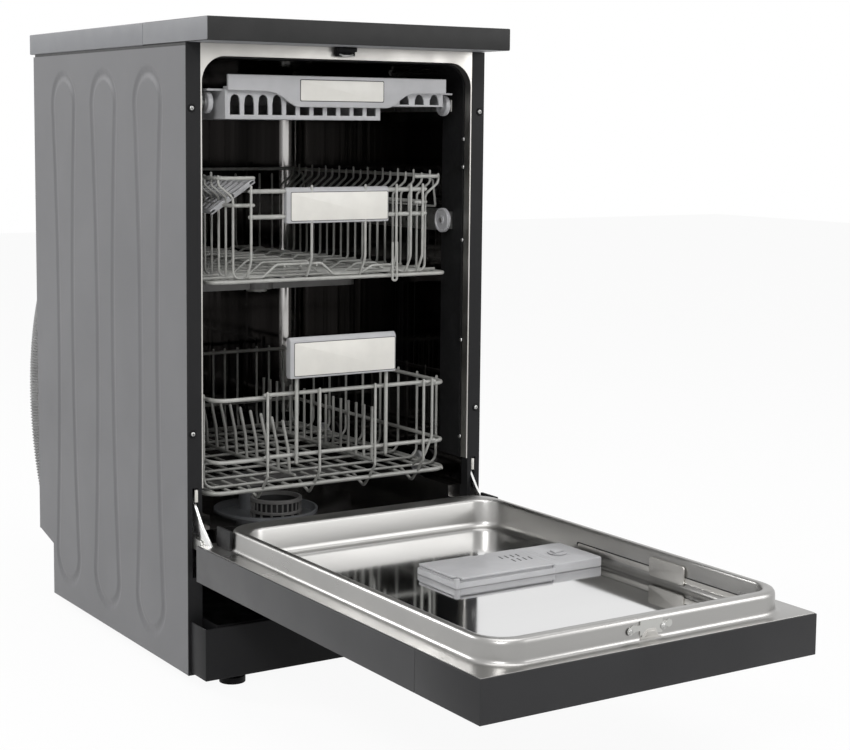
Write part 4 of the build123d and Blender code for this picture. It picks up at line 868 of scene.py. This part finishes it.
def side_sheet(side, name, node):
    """One side of the cabinet, with its pressed loops and the step over its rear foot."""
    near, far, low, high = 1.4, 519.6, 13.2, 811.8
    (step_y, step_z), (end_y, end_z) = FOOT_STEP
    mesh = bmesh.new()
    bmesh.ops.create_grid(mesh, x_segments=300, y_segments=220, size=0.5)
    for vert in mesh.verts:
        y = near + (vert.co.x + 0.5) * (far - near)
        z = low + (vert.co.y + 0.5) * (high - low)
        distance = groove_tree.find((y, z, 0))[2]
        fall = min(max((GROOVE_REACH - distance) / GROOVE_WALL, 0), 1)
        depth = GROOVE_DEPTH * fall * fall * (3 - 2 * fall)
        vert.co = at(side * (SHEET_X - depth), y, z)
    step_line = [(step_y, low), *FOOT_STEP, (far + 1, end_z)]
    for (y0, z0), (y1, z1) in zip(step_line, step_line[1:]):
        along = Vector((0, y1 - y0, z1 - z0))
        normal = Vector((0, -along.z, along.y)).normalized()
        bmesh.ops.bisect_plane(mesh, geom=mesh.verts[:] + mesh.edges[:] + mesh.faces[:], dist=1e-7,
                               plane_co=at(0, y0, z0), plane_no=normal)
    gone = []
    for face in mesh.faces:
        middle = face.calc_center_median()
        y, z = (middle.y - FRONT) * 1000, middle.z * 1000
        edge_z = step_z + (y - step_y) / (end_y - step_y) * (end_z - step_z) if y < end_y else end_z
        if y > step_y and z < edge_z:
            gone.append(face)
    bmesh.ops.delete(mesh, geom=gone, context="FACES")
    rim = [e for e in mesh.edges if e.is_boundary]
    grown = bmesh.ops.extrude_edge_only(mesh, edges=rim)
    moved = [g for g in grown["geom"] if isinstance(g, bmesh.types.BMVert)]
    bmesh.ops.translate(mesh, vec=(-side * SHEET_THICKNESS, 0, 0), verts=moved)
    back = [g for g in grown["geom"] if isinstance(g, bmesh.types.BMEdge)]
    bmesh.ops.holes_fill(mesh, edges=[e for e in back if e.is_boundary], sides=0)
    return piece(mesh, name, finishes["cabinet_grey"], "cabinet", (node,), angle=60)


left_sheet = side_sheet(-1, "side_sheet_left", "side_panel_left")
side_sheet(1, "side_sheet_right", "side_panel_right")
print("side sheet faces:", len(left_sheet.data.polygons))

# %% [markdown]
# Small fixings are what makes a machine look real up close: each post has two screws in black cups, and bright screw
# heads hold the rails inside the tub and the latch on the rim of the pan. A flattened ball makes a domed head, and the
# cross is a thin near black shape laid over it, painted shade for the recess, which reads the same at this size as one
# that is cut.

# %% Helpers: screw heads and discs
def standing(spot, axis):
    """The matrix that stands a shape on a spot, with its top along an axis."""
    return Matrix.Translation(at(*spot)) @ Vector(axis).to_track_quat("Z", "Y").to_matrix().to_4x4()


def add_screw(mesh, spot, axis, radius, height):
    """A domed screw head standing off a surface along an axis."""
    head = bmesh.ops.create_uvsphere(mesh, u_segments=20, v_segments=10, radius=radius / 1000)
    bmesh.ops.scale(mesh, vec=(1, 1, height / radius), verts=head["verts"])
    below = [v for v in head["verts"] if v.co.z < -0.0002]  # the hidden half is drawn in a little
    bmesh.ops.translate(mesh, vec=(0, 0, 0.0001), verts=below)
    bmesh.ops.transform(mesh, matrix=standing(spot, axis), verts=head["verts"])


def add_disc(mesh, spot, axis, radius, height, bevel):
    """A flat round disc on a surface."""
    made = bmesh.ops.create_cone(mesh, cap_ends=True, segments=28, radius1=radius / 1000,
                                 radius2=(radius - bevel) / 1000, depth=height / 1000)
    bmesh.ops.translate(mesh, vec=(0, 0, height / 2000), verts=made["verts"])
    bmesh.ops.transform(mesh, matrix=standing(spot, axis), verts=made["verts"])


print("screw helpers ready")

# %% Screws of the posts
CROSS = ((-1.7, -0.3), (1.7, -0.3), (1.7, 0.3), (-1.7, 0.3))  # one bar of the cross, in mm
CROSS_TURN = 0.3  # radians
post_cups, post_screws, crosses = bmesh.new(), bmesh.new(), bmesh.new()
for x in (-217.5, 217.5):
    for z in (326, 735):
        add_disc(post_cups, (x, -0.05, z), (0, -1, 0), 5.4, 1.5, 1.0)
        add_screw(post_screws, (x, -1.2, z), (0, -1, 0), 2.9, 1.1)
        for turn_angle in (CROSS_TURN, CROSS_TURN + math.pi / 2):
            c, s = math.cos(turn_angle), math.sin(turn_angle)
            add_moulding(crosses, [(x + a * c - b * s, z + a * s + b * c) for a, b in CROSS], "y", -2.35, -1.5)
piece(post_cups, "post_screw_cups", finishes["base_black"], "cabinet")
piece(post_screws, "post_screws", finishes["fixing_steel"], "cabinet", ("cabinet_screws",))
# The crosses are painted shade for the recess in each screw head.
piece(crosses, "post_screw_crosses", shadow, "cabinet")
print("post screws made")

# %% Screws of the latch plate, the tub and the gasket
pan_screws, tub_screws, gasket_rings = bmesh.new(), bmesh.new(), bmesh.new()
for x, z in ((-28.4, 202.0), (16.4, 202.1)):
    add_disc(pan_screws, (x, -629.4, z), (0, -1, 0), 4.0, 0.5, 0.2)
    add_screw(pan_screws, (x, -629.7, z), (0, -1, 0), 2.8, 1.0)
piece(pan_screws, "latch_screws", finishes["fixing_steel"], "door")
for side in (-1, 1):
    for y, z in ((53, 732), (53, 634), (54, 544), (54, 356), (55, 262)):
        add_screw(tub_screws, (side * 203.9, y, z), (-side, 0, 0), 3.0, 1.6)
    for z in (697.6, 659.5, 558.7, 419.6, 283.3):
        add_disc(gasket_rings, (side * 203.9, 17, z), (-side, 0, 0), 5.2, 1.2, 0.8)
        add_screw(tub_screws, (side * 203.0, 17, z), (-side, 0, 0), 3.4, 1.9)
piece(gasket_rings, "gasket_screw_rings", finishes["base_black"], "cabinet")
piece(tub_screws, "tub_rail_screws", finishes["fixing_steel"], "cabinet")
print("tub, gasket and latch screws made")

# %% [markdown]
# Plain solids that already have the right shape only lack soft edges. A copy of each is merged from its loose
# triangles into whole faces, and the edges that turn sharply get a small bevel. The bevel catches a thin line of
# light, as the edge of real board and sheet does.

# %% Softened copies of plain solids
FLAT, SHARP = math.radians(1), math.radians(40)


def softened(node, name, bevel, segments=2):
    """A copy of a solid with its sharp edges bevelled."""
    mesh = bmesh.new()
    mesh.from_mesh(nodes[node].data)
    bmesh.ops.remove_doubles(mesh, verts=mesh.verts, dist=0.00001)
    bmesh.ops.dissolve_limit(mesh, angle_limit=FLAT, verts=mesh.verts, edges=mesh.edges)
    sharp = [e for e in mesh.edges if len(e.link_faces) == 2 and e.calc_face_angle(0) > SHARP]
    bmesh.ops.bevel(mesh, geom=sharp, offset=bevel / 1000, offset_type="OFFSET", affect="EDGES",
                    segments=segments, profile=0.5, material=-1, clamp_overlap=True)
    slot = by_node[node]
    body = [b for b, members in frame["record"]["behaviour"]["bodies"].items() if node in members][0]
    return piece(mesh, name, finishes[slot], body, (node,), angle=40)


softened("worktop_panel", "worktop_board", 1.2, segments=3)
trim = softened("worktop_front_trim", "worktop_front_edge", 1.6, segments=3)
trim.data.materials.append(finishes["worktop_grey"])
for polygon in trim.data.polygons:
    if abs(polygon.normal.x) > 0.8:
        polygon.material_index = 1
softened("control_panel", "control_fascia", 1.4, segments=3)
softened("door_panel", "door_front", 0.5)
softened("kick_plate", "kick_board", 2.0, segments=3)
softened("base_tray", "base_moulding", 1.2)
softened("bottom_seal", "bottom_lip_seal", 0.9, segments=3)
print("softened copies made")

# %% [markdown]
# The cutlery tray's front is a row of arches with narrow teeth between them. Openings that are all alike are quickest
# cut with a Boolean modifier, and its result is baked into the mesh, so that the finished piece needs no cutter.

# %% Cutlery tray
def arch(mesh, x, width, low, spring, near, far):
    """A cutter for one arched opening: straight sides up to the spring line, then half a circle."""
    outline = [(x - width / 2, low), (x + width / 2, low)]
    outline += [(x + width / 2 * math.cos(math.pi * i / 12), spring + width / 2 * math.sin(math.pi * i / 12))
                for i in range(13)]
    add_moulding(mesh, outline, "y", near, far)


def comb_front(name):
    """The tray with its front slots opened out into wide arches, so that narrow teeth stay between them."""
    made = softened("cutlery_tray", name, 0.3)
    cutter_mesh = bmesh.new()
    for index in range(11):
        arch(cutter_mesh, -151 + 20.2 * index, 14.4, 727.5, 741.5, 10.0, 16.0)
    for index in range(4):
        arch(cutter_mesh, 79 + 24 * index, 15.0, 743.0, 747.6, 10.0, 16.0)
    bmesh.ops.recalc_face_normals(cutter_mesh, faces=cutter_mesh.faces)
    cutter_data = bpy.data.meshes.new("arch_cutter")
    cutter_mesh.to_mesh(cutter_data)
    cutter_mesh.free()
    cutter = bpy.data.objects.new("arch_cutter", cutter_data)
    bpy.context.scene.collection.objects.link(cutter)
    cut = made.modifiers.new("arches", "BOOLEAN")
    cut.object = cutter
    cut.solver = "EXACT"
    bpy.context.view_layer.update()
    baked = bpy.data.meshes.new_from_object(made.evaluated_get(bpy.context.evaluated_depsgraph_get()))
    made.modifiers.clear()
    bpy.data.objects.remove(cutter)
    made.data = baked
    made.data.set_sharp_from_angle(angle=SHARP)
    return made


tray_body = comb_front("tray_body")
print("tray faces:", len(tray_body.data.polygons))

# %% [markdown]
# Round pieces are turned: a section is drawn from the axle outwards, and spin carries it round. The rack wheels
# have a tread, a thin recessed web and a hub, and the rollers inside the tub walls are the same shape. A cylinder
# would need each of these steps cut into it afterwards.

# %% Helpers: turned pieces
def turned(mesh, centre, axis, section, steps=40):
    """Spins a closed section of (radius, distance along the axis) round an axis through a point, all in mm."""
    along = Vector(axis)
    side = Vector((0, 0, 1)) if abs(along.z) < 0.5 else Vector((1, 0, 0))
    origin = at(*centre)
    corners = [mesh.verts.new(origin + side * (max(r, 0.0) / 1000) + along * (d / 1000)) for r, d in section]
    edges = [mesh.edges.new(pair) for pair in zip(corners, corners[1:] + corners[:1])]
    bmesh.ops.spin(mesh, geom=corners + edges, cent=origin, axis=along, angle=2 * math.pi, steps=steps,
                   use_merge=True)


def wheel_section(radius, width):
    """The section of a small wheel, from one face to the other."""
    hub = radius * 0.32
    rim = radius * 0.78
    half = [(0.6, 0.1), (hub, 0.1), (hub + 0.8, 1.3), (rim, 1.3), (rim + 0.8, 0.1), (radius - 0.8, 0.1),
            (radius - 0.05, 0.9)]
    return half + [(r, width - d) for r, d in reversed(half)]


print("a wheel's section has", len(wheel_section(17, 6)), "corners")

# %% Wheels and rollers
def wheels(name, node, body, spots, radius, width):
    """A pair or more of wheels that stand for one solid."""
    mesh = bmesh.new()
    for x, y, z in spots:
        start = x if x > 0 else x - width
        turned(mesh, (start, y, z), (1, 0, 0), wheel_section(radius, width))
    piece(mesh, name, finishes["rack_plastic"], body, (node,), angle=40)


for name, node, body, x, y, z, radius, width in (
        ("lower_wheels_front", "lower_rack_front_wheels", "lower_front_wheels", 191, 109, 232.3, 17, 6),
        ("lower_wheels_rear", "lower_rack_rear_wheels", "lower_rear_wheels", 191, 380, 232.3, 17, 6),
        ("upper_rollers", "upper_rack_rollers", "rail_rollers", 188, 48, 585, 17, 6),
        ("tray_end_rollers", "tray_rollers", "tray_wheels", 177, 34, 743, 14, 7)):
    wheels(name, node, body, [(x, y, z), (-x, y, z)], radius, width)
print("wheels made")

# %% [markdown]
# The filter is a basket of upright bars between turned rings, with a core of gauze inside. The gauze is far too fine to
# model thread by thread, so one plain turned tube stands for it behind the bars, near black as painted shade for the
# dark inside of the filter seen through it.

# %% Filter
FILTER_X, FILTER_Y = 0, 181
basket, gauze = bmesh.new(), bmesh.new()
for inner, outer, low, high in ((33.0, 37.0, 184.5, 189.8), (33.4, 36.4, 168.5, 172.5),
                                (33.4, 36.8, 152, 158.5), (33, 38.8, 148, 152)):
    section = [(inner, 0), (inner, high - low), (outer - 0.6, high - low), (outer, high - low - 0.6), (outer, 0.6),
               (outer - 0.6, 0)]
    turned(basket, (FILTER_X, FILTER_Y, low), (0, 0, 1), section, 56)
for count, reach, radius, low, high in ((28, 34.9, 1.25, 172, 185), (14, 35.0, 1.9, 158, 169)):
    for index in range(count):
        a = 2 * math.pi * index / count
        bar = circle_outline(FILTER_X + reach * math.cos(a), FILTER_Y + reach * math.sin(a), radius, 6, a)
        add_moulding(basket, bar, "z", low, high)
piece(basket, "filter_basket", filter_plastic, "filter_cup", ("filter",), angle=40)
turned(gauze, (FILTER_X, FILTER_Y, 121), (0, 0, 1), [(29.5, 0), (31.6, 2), (31.6, 64), (29.5, 64)], 48)
# The gauze tube is drawn in painted shade: the dark of the inside of the filter seen through the gauze.
piece(gauze, "filter_gauze", shadow, "filter_cup")
print("filter made")

# %% [markdown]
# The hinge arms are pressed plates with a turned-over edge, and that edge is the bright strip that curves up from
# each corner of the door into its slot in the post. The plate and its edge are thin in different directions, so each
# is an outline of its own.

# %% Hinge arms
arms = bmesh.new()
arm_line = [(-120, 150), (-120, 184), (-52, 184), (-14, 213), (13, 246.5), (21.5, 240), (4.5, 188), (-5, 176),
            (-28, 176), (-50, 150)]
strip_outer = bend([(-56, 183.9, 0), (-50, 184.1, 0), (-14, 213, 0), (12.6, 246.4, 0)], 60, 8)
strip_line = [(p.x, p.y) for p in strip_outer] + [(p.x + 1.0, p.y - 1.2) for p in reversed(strip_outer)]
for side in (-1, 1):
    inner, outer = sorted((side * 213.3, side * 214.7))
    add_moulding(arms, rounded(arm_line, 7, 5), "x", inner, outer, 0.25)
    inner, outer = sorted((side * 211.4, side * 214.6))
    add_moulding(arms, strip_line, "x", inner, outer)
    inner, outer = sorted((side * 214.6, side * 223.9))
    add_moulding(arms, box_outline(-118, -60, 150.1, 151.9), "x", inner, outer)
hinge_finish = make_finish("hinge_plate", (226, 226, 224), 0.03, (0.22, 0.34), 1.0, patch=40, grain=900)
piece(arms, "hinge_plates", hinge_finish, "door", ("hinge_arms",), angle=40)
hinge_clips = bmesh.new()
for side in (-1, 1):
    clip = rounded(box_outline(side * 213.4 - 2.0, side * 213.4 + 2.0, 238, 254), 1.2, 3)
    add_moulding(hinge_clips, clip, "y", -1.6, 0.4, 0.3)
piece(hinge_clips, "hinge_slot_clips", finishes["insert_light"], "cabinet")
print("hinge arms made")

# %% [markdown]
# A bright upright streak at the back of the tub suggests that its rear corners are bent round, not folded sharply. A
# bow of thin sheet in each corner catches the light in the same way, and its steel is also painted far lighter than the
# tub's walls, a painted highlight for that streak. The strips below the worktop fill the narrow gap between it and the
# side sheets, in a near black that is painted shade for that gap.

# %% Rounded rear corners of the tub, and the seat strips below the worktop
CORNER_RADIUS, CORNER_SHEET = 26, 0.6
quarter = [math.pi / 2 * i / 12 for i in range(13)]
tub_bows, seats = bmesh.new(), bmesh.new()
for side in (-1, 1):
    bow = [(side * (204.6 - CORNER_RADIUS + CORNER_RADIUS * math.sin(a)),
            500 - CORNER_RADIUS + CORNER_RADIUS * math.cos(a)) for a in quarter]
    inner = [(x - side * CORNER_SHEET * math.sin(a), y - CORNER_SHEET * math.cos(a)) for (x, y), a in zip(bow, quarter)]
    add_moulding(tub_bows, bow + inner[::-1], "z", 250, 786)
    add_moulding(seats, box_outline(*sorted((side * 216, side * 223.2)), 3, 518), "z", 811.9, 815.8)
# The corners are painted far lighter than the tub's walls: a painted highlight for the bright streak in each bent
# corner.
tub_corner = make_finish("tub_corner_painted_highlight", (190, 188, 186), 0.04, (0.06, 0.14), 1.0, patch=18,
                         streak=(1, 1, 0.04), grain=60, height=0.0003)
piece(tub_bows, "tub_corners", tub_corner, "cabinet", angle=50)
# The seat strips are painted shade: near black in the narrow gap under the worktop, where the side sheets' top edges
# lie in shade.
piece(seats, "worktop_seats", shadow, "cabinet")
print("tub corners and seat strips made")

# %% [markdown]
# The latch strike is a black housing below the worktop with two bent steel wires that the door catches. Two mouldings
# make the housing with its step, and the wire helper that made the racks bends the wires.

# %% Latch strike and its steel hook
STRIKE_LEFT, STRIKE_RIGHT, STRIKE_TOP = -12.8, 14.8, 815.6
strike = bmesh.new()
for bottom, front_y, back_y in ((803.6, -6.5, 0.4), (809.6, -11.8, -6.3)):
    block = [(STRIKE_LEFT, STRIKE_TOP), (STRIKE_LEFT, bottom), (STRIKE_RIGHT, bottom), (STRIKE_RIGHT, STRIKE_TOP)]
    add_moulding(strike, rounded(block, 1.5, 4), "y", front_y, back_y, 0.8)
piece(strike, "strike_housing", finishes["base_black"], "cabinet", ("latch_strike",), angle=40)
hook = [(1.2, 1.4, [(-10, -7.4, 806.5), (-4, -9.6, 805), (4, -9.6, 805), (11, -7.4, 806.5)], False),
        (1.0, 1.2, [(-6, -7.2, 804.4), (0, -8.4, 804.1), (13, -7.2, 804.4)], False)]
wire_piece(hook, "strike_hook", finishes["fixing_steel"], "cabinet")
print("latch made")
